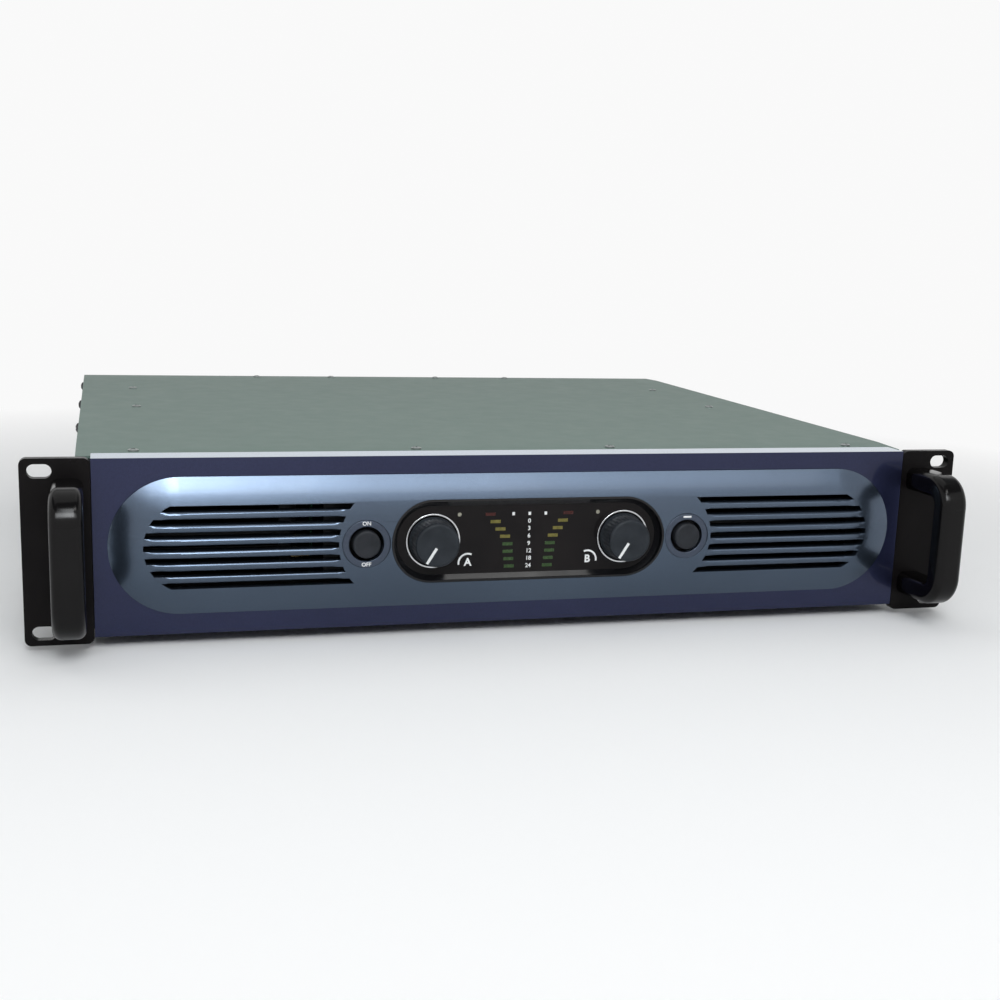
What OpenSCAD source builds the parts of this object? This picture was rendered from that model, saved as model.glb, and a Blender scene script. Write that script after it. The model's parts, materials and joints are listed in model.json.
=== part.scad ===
// Two-unit rack power amplifier with a louvred front bezel, two level knobs and a meter window.
// Sizes are in millimetres. X runs across the front, Y runs back from the front, Z is up.
// The origin lies on the plane under the feet, at the middle of the whole outline.

/* [Rack ears] */
// Overall width over both ears
rack_w = 482.6; // [478:0.1:488]
// Height of an ear
ear_h = 88.1; // [86:0.1:92]
// Least width of an ear
ear_w = 31; // [30:0.1:34]
// Least overlap of an ear in front of the case
ear_lap = 6.7; // [6:0.1:9]
// Thickness of an ear plate
ear_t = 5; // [4:0.1:7]
// Corner radius of an ear plate
ear_corner_r = 3.2; // [2:0.1:5]
// Height of the ears above the surface under the feet
ear_ground = 3; // [2:0.1:5]
// Distance between the two columns of rack slots
rack_slot_dx = 465.1; // [463:0.1:467]
// Distance between the two rows of rack slots
rack_slot_dz = 76.2; // [74:0.1:77]
// Width across a rack slot
rack_slot_w = 6.6; // [6.4:0.1:7]
// Length along a rack slot
rack_slot_l = 11; // [9:0.1:13]
// Depth of the flange that runs back from an ear along the case
ear_flange_d = 40; // [36:1:50]
// Thickness of that flange
ear_flange_t = 2.5; // [2:0.1:3]
// Height of that flange
ear_flange_h = 45; // [40:1:46]

/* [Handles] */
// Distance from the outer edge of an ear to the middle of its handle
handle_inset = 20.7; // [20:0.1:22]
// Width of the handle bar
handle_w = 14.8; // [12:0.1:15]
// Thickness of the handle bar
handle_bar = 12; // [11:0.1:13]
// Height of a handle
handle_h = 69.5; // [64:0.5:72]
// Reach of a handle in front of the ears
handle_reach = 38; // [34:0.5:42]
// Radius inside the bends of a handle
handle_bend_r = 4; // [2:0.1:6]
// Rounding of the handle bar's edges
handle_edge_r = 4; // [2:0.1:5]

/* [Front panel] */
// Height of the front panel
panel_h = 84.8; // [84:0.1:86]
// Depth of the front panel's rim
panel_d = 16; // [14:0.5:20]
// Wall thickness of the front panel
panel_wall = 3; // [2:0.1:3.5]
// Step from the top of the ears down to the top of the front panel
panel_drop = 0.2; // [0:0.1:1]
// Gap between the front panel and each ear
joint_gap = 0.3; // [0.1:0.1:0.6]

/* [Bezel] */
// Margin of the front panel outside each end of the crowned bezel
bezel_margin = 6.5; // [4:0.1:8]
// Height of the crowned bezel
bezel_h = 66; // [64:0.5:68]
// Rise of the bezel's crown in front of the panel
bezel_rise = 7.8; // [7:0.1:9]
// Height of the upright edge around the bezel
bezel_edge = 0.8; // [0.5:0.1:1.5]
// Height of the controls' centre line above the middle of the ears
control_lift = 2; // [1:0.1:3]
// Louvres in each group
louvre_count = 7; // [5:1:7]
// Distance between louvres
louvre_pitch = 6.15; // [5.8:0.05:6.3]
// Height of a louvre's opening
louvre_gap = 2.8; // [2.4:0.1:3.6]
// Distance from the bezel's end to the centre of the louvres' round end
louvre_end = 37.9; // [36:0.1:40]
// Radius of the round outer end of the louvres
louvre_out_r = 22; // [21:0.1:23]
// Centre of the hollow inner end of the louvres
louvre_in_x = 67.4; // [66:0.1:68]
// Radius of the hollow inner end of the louvres
louvre_in_r = 29.2; // [28.5:0.1:30]
// Diameter of the pegs that hold the bezel to the panel
peg_d = 4; // [3:0.1:4.5]

/* [Meter window] */
// Width of the window frame
window_w = 141.4; // [138:0.1:143]
// Height of the window frame
window_h = 41.4; // [41:0.1:42]
// Thickness of the rim of the window frame
window_rim = 1; // [0.8:0.1:1.4]
// Width of the sloping face inside the rim
window_slope = 2.4; // [2:0.1:3]
// Depth of the window below the bezel's crown
window_depth = 5.2; // [5:0.1:5.4]
// Thickness of the window
lens_t = 2; // [1.5:0.1:2.2]
// Width of a meter lamp
led_w = 5.2; // [4.5:0.1:7]
// Height of a meter lamp
led_h = 2; // [1.5:0.1:2.5]
// Distance between rows of meter lamps
led_pitch = 3.8; // [3.5:0.05:3.85]
// Depth of the control board behind the front of the panel
board_depth = 8; // [7:0.1:9]
// Thickness of every circuit board
board_t = 1.6; // [1.2:0.1:2]

/* [Knobs] */
// Distance of each knob from the middle of the panel
knob_x = 49.5; // [48:0.1:50]
// Diameter of a knob at its base
knob_base_d = 24; // [22:0.1:24.5]
// Diameter of a knob at its front
knob_face_d = 22; // [20:0.1:23]
// Length of a knob
knob_l = 12.5; // [11:0.1:14]
// Outer diameter of the bright ring around a knob
knob_ring_d = 27.4; // [26.8:0.1:28]
// Width of the bright ring
knob_ring_w = 1; // [0.8:0.1:1.1]
// Width of the pointer line on a knob
pointer_w = 1.3; // [1:0.1:2]
// Angle of the pointer from straight down at the lowest level
knob_rest = 32; // [25:1:40]
// Diameter of the level control shafts
shaft_d = 6; // [5:0.1:6.4]

/* [Buttons] */
// Distance of each push button from the middle of the panel
button_x = 83.2; // [82.5:0.1:83.6]
// Diameter of a push button
button_d = 13.6; // [12:0.1:14.5]
// Diameter of the hole around a push button
button_hole_d = 17; // [16:0.1:17.4]
// Outer diameter of the flat ring around a push button
button_ring_d = 23.4; // [23:0.1:24]
// How far a push button stands proud of its ring
button_proud = 1.6; // [1:0.1:3]
// Travel of a push button
button_travel = 3; // [2:0.1:4]

/* [Case] */
// Width of the case over its cover
body_w = 434; // [430:0.5:436]
// Depth of the case from the front of the ears
body_d = 400; // [390:1:420]
// Height of the case from its floor to the top of its cover
body_h = 84.4; // [84:0.1:86]
// Thickness of the case's sheet metal
sheet = 1.5; // [1:0.1:2]
// Thickness of the cover's sheet metal
cover_sheet = 1.2; // [1:0.1:1.5]
// Depth of the cover's side lips
cover_lip = 18; // [15:0.5:20]
// Depth of the sloping strips along the cover's front and rear edges
cover_strip = 23; // [20:0.5:26]
// Fall of those strips
cover_fall = 0.8; // [0.4:0.1:1]
// Height of a foot
foot_h = 6; // [5:0.1:7]
// Diameter of a foot
foot_d = 22; // [18:0.5:26]
// Distance of the feet from the sides of the case
foot_inset = 47; // [37:1:57]
// Distance of the front feet from the front of the ears
foot_front = 55; // [50:1:70]
// Distance of the rear feet from the back of the case
foot_rear = 55; // [50:1:70]

/* [Cooling] */
// Side of a fan's square frame
fan_size = 80; // [76:0.5:80]
// Depth of a fan
fan_d = 25; // [20:0.5:28]
// Distance of each fan's middle from the side of the case
fan_inset = 57; // [55:0.5:59]
// Blades on a fan
fan_blades = 7; // [5:1:9]
// Gap between a heatsink and the fan behind it
heatsink_gap = 28.5; // [24:0.5:60]
// Width of a heatsink
heatsink_w = 88; // [80:1:90]
// Cooling fins on a heatsink
fin_count = 8; // [5:1:10]
// Thickness of a cooling fin
fin_t = 2; // [1.5:0.1:3]

/* [Power supply] */
// Outer diameter of the ring transformer
transformer_d = 130; // [110:1:136]
// Height of the ring transformer
transformer_h = 60; // [50:1:66]
// Diameter of the hole through the ring transformer
transformer_hole_d = 40; // [34:1:50]
// Diameter of a filter capacitor
capacitor_d = 35; // [25:1:40]
// Height of a filter capacitor
capacitor_h = 55; // [40:1:65]

/* [Rear connections] */
// Reach of the terminal barriers behind the case
terminal_reach = 9; // [8.5:0.1:12]
// Distance between speaker terminals
terminal_pitch = 13; // [11:0.1:14]
// Diameter of the bore in an input socket
jack_bore_d = 6.5; // [6.4:0.05:6.8]
// Travel of the mode slider
mode_travel = 6; // [4:0.1:8]
// Travel of the breaker's button when it trips
breaker_travel = 3; // [2:0.1:4]

/* [Hidden] */
$fn = 64;

// Both sides of a mirrored pair
SIDES = [-1, 1];
// Clearance around anything that turns or slides in a bore
run_clear = 0.05;
// Clearance around a fixed screw or peg in its hole
hole_clear = 0.15;
// Clearance between fixed pieces that drop into an opening
seat_clear = 0.1;
// Extra length of a cutting tool past the face that it cuts
cut_over = 1;

// Screw sizes: shank diameter, head diameter and head height
m3 = [3, 5.6, 2.1];
m4 = [4, 7.6, 2.6];
low_m3 = [3, 5.2, 1.2];
head_taper = 0.7;
screw_end = 4;
corner_screw_l = 9;
board_screw_l = 7;
rear_screw_l = 6;
inlet_screw_l = 8;
terminal_screw_l = 7;

// Levels of the main pieces
ear_mid_z = ear_ground + ear_h / 2;
panel_top_z = ear_ground + ear_h - panel_drop;
panel_z0 = panel_top_z - panel_h;
control_z = ear_mid_z + control_lift;
pan_z0 = foot_h;
floor_z = pan_z0 + sheet;
cover_top_z = pan_z0 + body_h;
cover_under_z = cover_top_z - cover_sheet;
wall_top_z = cover_under_z - cover_fall;
inside_mid_z = (floor_z + wall_top_z) / 2;

// The front of the ears lies here, so that the outline is centred on the origin
panel_y = (handle_reach - body_d - terminal_reach) / 2;

// Widths of the main pieces
ear_in = min(rack_w / 2 - ear_w, body_w / 2 - ear_lap);
panel_half = ear_in - joint_gap;
pan_half = body_w / 2 - cover_sheet;
inside_half = pan_half - sheet;
ear_out = max(rack_w / 2, pan_half + ear_flange_t);

// Depths behind the front of the ears
subpanel_y0 = panel_d;
subpanel_y1 = panel_d + sheet;
rear_y0 = body_d - sheet;
flange_w = 10;
corner_screw_dz = 30;
vent_margin = 4;
lip_gap = 1;
board_gap = 1;
strip_flange_end = 10;

// Crown of the bezel
bezel_w = 2 * (panel_half - bezel_margin);
bezel_r = bezel_h / 2;
bezel_half = bezel_w / 2 - bezel_r;
bezel_sag = bezel_rise - bezel_edge;
bezel_arc = (bezel_r * bezel_r + bezel_sag * bezel_sag) / (2 * bezel_sag);
bezel_arc_y = bezel_arc - bezel_rise;
crown_fn = 256;
louvre_out_x = bezel_w / 2 - louvre_end;
opening_margin = 3;
opening_r = louvre_out_r + opening_margin;
peg_z = (bezel_r + opening_r) / 2;
peg_l = 7;
peg_root = 1;
corner_inset = [9, 5.6];
corner_boss_d = 8;
boss_skin = 4;
peg_inset = 17.3;
peg_in_x = 90;
peg_out_x = louvre_out_x - peg_inset;
peg_xs = [-peg_out_x, -peg_in_x, peg_in_x, peg_out_x];
clip_d = 8;
clip_t = 1;

// Meter window
window_r = window_h / 2;
window_half = window_w / 2 - window_r;
lens_front_y = window_depth - bezel_rise;
rim_in_r = window_r - window_rim;
view_r = rim_in_r - window_slope;
slope_ratio = 0.75;
slope_front_y = lens_front_y - window_slope * slope_ratio;
lens_lip = 1.6;
lens_r = view_r + lens_lip;
tab_half = 45;
tab_r = opening_r + 2;
tab_t = 1.5;
boss_x = 40;
boss_d = 6;
boss_inset = 0.3;
boss_z = opening_r - boss_d / 2 - boss_inset;
led_gap = 0.5;
led_front_y = lens_front_y + lens_t + led_gap;
led_top = 12.6;
// Distance of each row of lamps from the middle, from the top row down
led_xs = [20, 17.4, 15, 12.6, 10.4, 9.95, 9.5, 9.05];
board_half = 68;
board_edge = 2;
board_r = boss_z + boss_d / 2 + board_edge;

// Knobs and level controls
knob_gap = 0.4;
knob_y = lens_front_y - knob_gap;
knob_edge = 1;
knob_edge_bend = 0.3;
knob_skirt_h = 1.5;
knob_skirt_step = 0.5;
knob_grip = 9;
knob_ring_h = 1.6;
pointer_start = 1.5;
pointer_margin = 0.6;
pointer_end = knob_face_d / 2 - pointer_margin;
pointer_sink = 0.6;
pointer_proud = 0.1;
bushing_d = 7;
bushing_l = 5;
pot_d = 16;
pot_l = 8.5;
shaft_tail = 6;

// Push buttons
ring_sink = 2.4;
ring_drop = 0.2;
ring_seat_y = ring_sink - bezel_rise;
ring_front_y = ring_drop - bezel_rise;
button_front_y = ring_front_y - button_proud;
button_cap_l = 7;
button_edge = 0.7;
button_crown = 0.2;
stem_d = 5;
stem_reach = 8;
stem_gap = 1;
stem_end_y = subpanel_y1 + stem_reach;
switch_side = 18;
switch_l = 26;
switch_neck_d = 10;
switch_neck_l = 3;

// Ear flange and its screws
flange_lift = 22;
flange_z0 = ear_ground + flange_lift;
ear_screw_setback = 14;
ear_screw_inset = 10;
ear_screw_y = subpanel_y1 + ear_screw_setback;
ear_screw_zs = [flange_z0 + ear_screw_inset, flange_z0 + ear_flange_h - ear_screw_inset];
handle_x = rack_w / 2 - handle_inset;
handle_mid = handle_bar / 2;
handle_turn = handle_bend_r + handle_mid;
handle_arm_z = handle_h / 2 - handle_mid;
handle_tap = 12;
tap_end = 2;

// Cover screws
strip_screw_setback = 12;
strip_screw_y = panel_d + strip_screw_setback;
lip_half = min(inside_half - flange_w, panel_half - corner_inset.x - m3[1] / 2) - lip_gap;
strip_screw_inset = 6.7;
strip_screw_xs = [52, lip_half - strip_screw_inset];
side_screw_front = 148;
side_screw_rear = 34;
side_screw_mid = (side_screw_front + body_d - side_screw_rear) / 2;
side_screw_ys = [side_screw_front, side_screw_mid, body_d - side_screw_rear];
side_screw_drop = 5.5;
side_screw_z = cover_top_z - side_screw_drop;
cover_screw_l = 7;

// Feet
foot_taper = 2;
foot_recess = 1;

// Heatsinks and amplifier boards
heatsink_side = 14.3;
heatsink_x0 = inside_half - heatsink_side - heatsink_w;
heatsink_y0 = 55;
heatsink_l = rear_y0 - fan_d - heatsink_gap - heatsink_y0;
rail_screw_inset = 15;
rail_screw_x = heatsink_x0 + heatsink_w - rail_screw_inset;
rail_screw_front = 147;
rail_screw_rear = 41;
rail_screw_ys = [heatsink_y0 + rail_screw_front, heatsink_y0 + heatsink_l - rail_screw_rear];
heatsink_base = 6;
heatsink_rail = 5;
heatsink_foot = 3;
transistor_count = 6;
transistor = [5, 16, 21];
transistor_z = 38;
amp_gap = 12;
amp_margin = 15;
amp_board_x = heatsink_x0 - amp_gap - board_t;
amp_lift = 6;
amp_drop = 5;
amp_board_z0 = floor_z + amp_lift;
amp_board_z1 = wall_top_z - amp_drop;
spacer_d = 6;
spacer_inset = 12;
spacer_margin = 6;

// Power supply
transformer_y = 120;
transformer_edge = 8;
pad_t = 3;
plate_t = 2;
plate_d = 90;
bolt_d = 8;
bolt_head_d = 13;
bolt_head_h = 5;
bolt_foot_h = 1.5;
transformer_z0 = floor_z + pad_t;
plate_z = transformer_z0 + transformer_h + pad_t;
supply_half = 68;
supply_gap = 15;
supply_rear = 80;
supply_y0 = transformer_y + transformer_d / 2 + supply_gap;
supply_y1 = body_d - supply_rear;
standoff_h = 8;
standoff_inset = 8;
supply_z = floor_z + standoff_h;
capacitor_dx = 31;
capacitor_dy = (supply_y1 - supply_y0) / 4;
rectifier = [28, 28, 9];
rectifier_rear = 50;
rectifier_y = body_d - rectifier_rear;

// Wiring
cable_d = 6;
cable_elbow = 3.3;
cable_gap = 10;
ribbon_w = 16;
ribbon_t = 1.2;
ribbon_y = 26;
ribbon_gap = 1.5;

// Fans
fan_x = body_w / 2 - fan_inset;
fan_y0 = rear_y0 - fan_d;
fan_wall = 1.5;
fan_hole_inset = 4.25;
fan_bore_r = fan_size / 2 - fan_wall;
fan_hole = fan_size / 2 - fan_hole_inset;
fan_hole_d = 4.4;
hub_r = 17;
blade_gap = 1.5;
blade_t = 1.4;
blade_pitch = 40;
motor_t = 3;
motor_gap = 0.5;
fan_pin_d = 3;
strut_w = 4;
strut_root = 1;
rotor_inset = 2;
rotor_edge = 1;
pin_gap = 0.5;
blade_root = 2;
wire_fn = 24;
fan_screw_gap = 2;
guard_wire = 1.8;
guard_gap = 0.1;
guard_weld = 1.3;
guard_rings = [12, 20, 28, 36];
eyelet_d = 9;
eyelet_t = 2;

// Strip along the rear panel's top edge, between the fans
rear_strip_gap = 15;
rear_half = fan_x - fan_size / 2;
rear_flange_half = rear_half - rear_strip_gap;
rear_strip_screw_xs = [40, rear_flange_half - strip_flange_end];

// Rear connections
inlet_z = 30;
inlet_body = [27, 20];
inlet_mouth = [24, 15.5];
inlet_flange = [50, 24];
inlet_flange_t = 2.5;
inlet_l = 20;
inlet_floor = 14;
inlet_screw_dx = 20;
pin_size = [2, 4];
pin_l = 9;
pin_dx = 7;
pin_lift = 2;
breaker_z = 66;
breaker_d = 16;
breaker_l = 26;
breaker_neck_d = 11;
breaker_neck_l = 3;
breaker_button_d = 7;
breaker_proud = 5;
breaker_hold = 5;
breaker_gap = 1;
breaker_grip = breaker_hold + breaker_travel;
jack_pitch = 28;
jack_body = [15, 20];
jack_l = 22;
jack_neck_d = 11;
jack_neck_l = 3;
jack_nut_d = 15;
jack_nut_t = 2;
jack_floor = 2;
terminal_count = 4;
terminal_wall = 1.6;
terminal_h = 22;
terminal_face = 2;
terminal_back = 9;
terminal_hole_l = 6;
terminal_flange = 7;
terminal_w = terminal_count * terminal_pitch + terminal_wall;
mode_body = [12, 28, 9];
mode_nub = [4, 5];
mode_gap = 0.3;
mode_proud = 4;
mode_sink = 5;

// The connections stand in a row between the fans with equal gaps
terminal_span = terminal_w + 2 * terminal_flange;
jack_span = jack_pitch + jack_body.x;
rear_row = inlet_flange.x + terminal_span + jack_span + mode_body.x;
rear_gap = (2 * rear_half - rear_row) / 5;
inlet_x = rear_gap + inlet_flange.x / 2 - rear_half;
terminal_x = inlet_x + inlet_flange.x / 2 + rear_gap + terminal_span / 2;
jack_x = terminal_x + terminal_span / 2 + rear_gap + jack_body.x / 2;
jack_xs = [jack_x, jack_x + jack_pitch];
mode_x = jack_x + jack_pitch + jack_body.x / 2 + rear_gap + mode_body.x / 2;

// Basic shapes

module slab(low, high) {
    translate(low) cube(high - low);
}

module rod_x(r, x0, x1) {
    translate([x0, 0, 0]) rotate([0, 90, 0]) cylinder(r = r, h = x1 - x0);
}

module rod_y(r, y0, y1) {
    translate([0, y0, 0]) rotate([-90, 0, 0]) cylinder(r = r, h = y1 - y0);
}

module rod_z(r, z0, z1) {
    translate([0, 0, z0]) cylinder(r = r, h = z1 - z0);
}

// A bar with round ends, long in X, from y0 back to y1
module stadium(half, r, y0, y1) {
    slab([-half, y0, -r], [half, y1, r]);
    for (side = SIDES)
        translate([side * half, 0, 0]) rod_y(r, y0, y1);
}

// A rounded rectangle in the plane
module round_rect(w, h, r) {
    square([w - 2 * r, h], center = true);
    square([w, h - 2 * r], center = true);
    for (sx = SIDES, sy = SIDES)
        translate([sx * (w / 2 - r), sy * (h / 2 - r)]) circle(r);
}

// A pan-head screw with its head above the plane and its shank below
module screw(size, l) {
    head_r = size[1] / 2;
    cylinder(r = head_r, h = size[2] / 2);
    translate([0, 0, size[2] / 2]) cylinder(r1 = head_r, r2 = head_r * head_taper, h = size[2] / 2);
    translate([0, 0, -l]) cylinder(d = size[0], h = l);
}

module head_front() { rotate([90, 0, 0]) children(); }
module head_back() { rotate([-90, 0, 0]) children(); }
module head_side(side) { rotate([0, side * 90, 0]) children(); }
module head_down() { rotate([180, 0, 0]) children(); }

function hole_r(size) = size[0] / 2 + hole_clear;

// Pieces are placed from the front of the ears
module in_case() { translate([0, panel_y, 0]) children(); }
module at_controls() { in_case() translate([0, 0, control_z]) children(); }

// Front panel and bezel

module panel_corners() {
    mid_z = panel_top_z - panel_h / 2;
    for (sx = SIDES, sz = SIDES)
        translate([sx * (panel_half - corner_inset.x), 0, mid_z + sz * (panel_h / 2 - corner_inset.y)])
            children();
}

module panel_bosses(r, y0, y1) {
    panel_corners() rod_y(r, y0, y1);
}

module front_panel() {
    color("slateblue") in_case() difference() {
        union() {
            difference() {
                slab([-panel_half, 0, panel_z0], [panel_half, panel_d, panel_top_z]);
                slab([-panel_half + panel_wall, panel_wall, panel_z0 + panel_wall],
                     [panel_half - panel_wall, panel_d + cut_over, panel_top_z - panel_wall]);
            }
            panel_bosses(corner_boss_d / 2, panel_wall / 2, panel_d);
        }
        translate([0, 0, control_z]) stadium(louvre_out_x, opening_r, -cut_over, panel_wall + cut_over);
        translate([0, 0, control_z]) pegs(peg_d / 2 + hole_clear, -cut_over, panel_wall + cut_over);
        panel_bosses(hole_r(m3), panel_wall + boss_skin, panel_d + cut_over);
    }
}

module pegs(r, y0, y1) {
    for (x = peg_xs, sz = SIDES)
        translate([x, 0, sz * peg_z]) rod_y(r, y0, y1);
}

// The crown: a long arc with round ends that fall away alike
module bezel_crown() {
    intersection() {
        slab([-bezel_half, -bezel_rise - cut_over, -bezel_r], [bezel_half, 0, bezel_r]);
        translate([0, bezel_arc_y, 0]) rod_x(bezel_arc, -bezel_half, bezel_half, $fn = crown_fn);
    }
    for (side = SIDES)
        translate([side * bezel_half, 0, 0]) intersection() {
            rod_y(bezel_r, -bezel_rise - cut_over, 0);
            translate([0, bezel_arc_y, 0]) sphere(bezel_arc, $fn = crown_fn);
            slab([min(0, side * bezel_r), -bezel_rise - cut_over, -bezel_r],
                 [max(0, side * bezel_r), 0, bezel_r]);
        }
}

module louvre_cuts() {
    y0 = -bezel_rise - cut_over;
    intersection() {
        difference() {
            union() {
                slab([louvre_in_x, y0, -louvre_out_r], [louvre_out_x, cut_over, louvre_out_r]);
                translate([louvre_out_x, 0, 0]) rod_y(louvre_out_r, y0, cut_over);
            }
            translate([louvre_in_x, 0, 0]) rod_y(louvre_in_r, y0 - cut_over, 2 * cut_over);
        }
        for (row = [0 : louvre_count - 1])
            translate([0, 0, (row - (louvre_count - 1) / 2) * louvre_pitch])
                slab([louvre_in_x, y0, -louvre_gap / 2],
                     [louvre_out_x + louvre_out_r, cut_over, louvre_gap / 2]);
    }
}

module grille_bezel() {
    color("cornflowerblue") at_controls() {
        difference() {
            bezel_crown();
            louvre_cuts();
            mirror([1, 0, 0]) louvre_cuts();
            stadium(window_half, window_r + seat_clear, -bezel_rise - cut_over, cut_over);
            slab([-tab_half - seat_clear, -tab_t, -tab_r - seat_clear],
                 [tab_half + seat_clear, cut_over, tab_r + seat_clear]);
            for (side = SIDES)
                translate([side * button_x, 0, 0]) {
                    rod_y(button_hole_d / 2, -bezel_rise - cut_over, cut_over);
                    rod_y(button_ring_d / 2 + seat_clear, -bezel_rise - cut_over, ring_seat_y);
                }
        }
        pegs(peg_d / 2, -peg_root, peg_l);
    }
}

module bezel_clips() {
    color("silver") at_controls() difference() {
        pegs(clip_d / 2, panel_wall, panel_wall + clip_t);
        pegs(peg_d / 2 + run_clear, panel_wall - cut_over, panel_wall + clip_t + cut_over);
    }
}

module button_rings() {
    color("lightsteelblue") at_controls() for (side = SIDES)
        translate([side * button_x, 0, 0]) difference() {
            rod_y(button_ring_d / 2, ring_front_y, ring_seat_y);
            rod_y(button_hole_d / 2, ring_front_y - cut_over, ring_seat_y + cut_over);
        }
}

// Meter window

// A stadium that narrows from r0 at y0 to r1 at y1
module stadium_taper(half, r0, y0, r1, y1) {
    for (side = SIDES)
        translate([side * half, y0, 0]) rotate([-90, 0, 0]) cylinder(r1 = r0, r2 = r1, h = y1 - y0);
    translate([-half, 0, 0]) rotate([90, 0, 90]) linear_extrude(2 * half)
        polygon([[y0, -r0], [y1, -r1], [y1, r1], [y0, r0]]);
}

module window_frame() {
    color("#151515") at_controls() {
        difference() {
            union() {
                intersection() {
                    stadium(window_half, window_r, -bezel_rise - cut_over, 0);
                    bezel_crown();
                }
                slab([-tab_half, -tab_t, -tab_r], [tab_half, 0, tab_r]);
                for (sx = SIDES, sz = SIDES)
                    translate([sx * boss_x, 0, sz * boss_z]) rod_y(boss_d / 2, -tab_t / 2, board_depth);
            }
            stadium(window_half, rim_in_r, -bezel_rise - cut_over, slope_front_y);
            stadium_taper(window_half, rim_in_r, slope_front_y, view_r, lens_front_y);
            stadium(window_half, lens_r, lens_front_y, cut_over);
            for (sx = SIDES, sz = SIDES)
                translate([sx * boss_x, 0, sz * boss_z]) rod_y(hole_r(m3), tab_t, board_depth + cut_over);
        }
    }
}

module display_window() {
    color("#3a302c") at_controls() difference() {
        stadium(window_half, lens_r - seat_clear, lens_front_y, lens_front_y + lens_t);
        for (side = SIDES)
            translate([side * knob_x, 0, 0])
                rod_y(bushing_d / 2 + hole_clear, lens_front_y - cut_over,
                      lens_front_y + lens_t + cut_over);
    }
}

module knob_rings() {
    color("gainsboro") at_controls() for (side = SIDES)
        translate([side * knob_x, 0, 0]) difference() {
            rod_y(knob_ring_d / 2, lens_front_y - knob_ring_h, lens_front_y);
            rod_y(knob_ring_d / 2 - knob_ring_w, lens_front_y - knob_ring_h - cut_over,
                  lens_front_y + cut_over);
        }
}

function led_row_z(row) = led_top - row * led_pitch;

module meter_lamps(first, last) {
    for (row = [first : last], side = SIDES)
        translate([side * led_xs[row], 0, led_row_z(row)])
            slab([-led_w / 2, led_front_y, -led_h / 2], [led_w / 2, board_depth, led_h / 2]);
}

module leds_red() { color("darkred") at_controls() meter_lamps(0, 0); }
module leds_yellow() { color("olive") at_controls() meter_lamps(1, 3); }
module leds_green() { color("darkgreen") at_controls() meter_lamps(4, len(led_xs) - 1); }

module control_board() {
    color("seagreen") at_controls() difference() {
        slab([-board_half, board_depth, -board_r], [board_half, board_depth + board_t, board_r]);
        for (side = SIDES)
            translate([side * knob_x, 0, 0])
                rod_y(bushing_d / 2 + hole_clear, board_depth - cut_over, board_depth + board_t + cut_over);
        for (sx = SIDES, sz = SIDES)
            translate([sx * boss_x, 0, sz * boss_z])
                rod_y(hole_r(m3), board_depth - cut_over, board_depth + board_t + cut_over);
    }
}

// Level controls

pot_y0 = board_depth + board_t;
bushing_y0 = pot_y0 - bushing_l - board_t;
shaft_end_y = pot_y0 + shaft_tail;

module level_pots() {
    color("dimgray") at_controls() for (side = SIDES)
        translate([side * knob_x, 0, 0]) difference() {
            union() {
                rod_y(pot_d / 2, pot_y0, pot_y0 + pot_l);
                rod_y(bushing_d / 2, bushing_y0, pot_y0 + pot_l / 2);
            }
            rod_y(shaft_d / 2 + run_clear, bushing_y0 - cut_over, shaft_end_y + run_clear);
        }
}

module pot_shaft(side) {
    color("silver") at_controls() translate([side * knob_x, 0, 0])
        rod_y(shaft_d / 2, knob_y - knob_grip, shaft_end_y);
}

module pot_shaft_a() { pot_shaft(-1); }
module pot_shaft_b() { pot_shaft(1); }

module pointer_bar(clear) {
    rotate([0, 180 + knob_rest, 0])
        slab([-pointer_w / 2 - clear, knob_y - knob_l - pointer_proud - clear, pointer_start - clear],
             [pointer_w / 2 + clear, knob_y - knob_l + pointer_sink, pointer_end + clear]);
}

module level_knob(side) {
    base_r = knob_base_d / 2;
    face_r = knob_face_d / 2;
    color("#2b3036") at_controls() translate([side * knob_x, 0, 0]) difference() {
        translate([0, knob_y, 0]) head_front() rotate_extrude() polygon([
            [0, 0], [base_r, 0], [base_r, knob_skirt_h],
            [base_r - knob_skirt_step, knob_skirt_h + knob_skirt_step], [face_r, knob_l - knob_edge],
            [face_r - knob_edge_bend, knob_l - knob_edge_bend], [face_r - knob_edge, knob_l], [0, knob_l]
        ]);
        rod_y(shaft_d / 2 + run_clear, knob_y - knob_grip, knob_y + cut_over);
        pointer_bar(run_clear);
    }
}

module level_knob_a() { level_knob(-1); }
module level_knob_b() { level_knob(1); }

module knob_pointer(side) {
    color("white") at_controls() translate([side * knob_x, 0, 0]) pointer_bar(0);
}

module knob_pointer_a() { knob_pointer(-1); }
module knob_pointer_b() { knob_pointer(1); }

// Push buttons

module push_button(side) {
    r = button_d / 2;
    color("#23262b") at_controls() translate([side * button_x, 0, 0]) {
        translate([0, button_front_y + button_cap_l, 0]) head_front() rotate_extrude() polygon([
            [0, 0], [r, 0], [r, button_cap_l - button_edge],
            [r - button_edge, button_cap_l - button_crown], [0, button_cap_l]
        ]);
        rod_y(stem_d / 2, button_front_y + button_cap_l / 2, stem_end_y);
    }
}

module power_button() { push_button(-1); }
module limiter_button() { push_button(1); }

module push_switches() {
    half = switch_side / 2;
    color("dimgray") at_controls() for (side = SIDES)
        translate([side * button_x, 0, 0]) difference() {
            union() {
                slab([-half, subpanel_y1, -half], [half, subpanel_y1 + switch_l, half]);
                rod_y(switch_neck_d / 2, subpanel_y0 - switch_neck_l, subpanel_y1 + cut_over);
            }
            rod_y(stem_d / 2 + run_clear, subpanel_y0 - switch_neck_l - cut_over,
                  stem_end_y + button_travel + stem_gap);
        }
}

// Ears and handles

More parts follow.
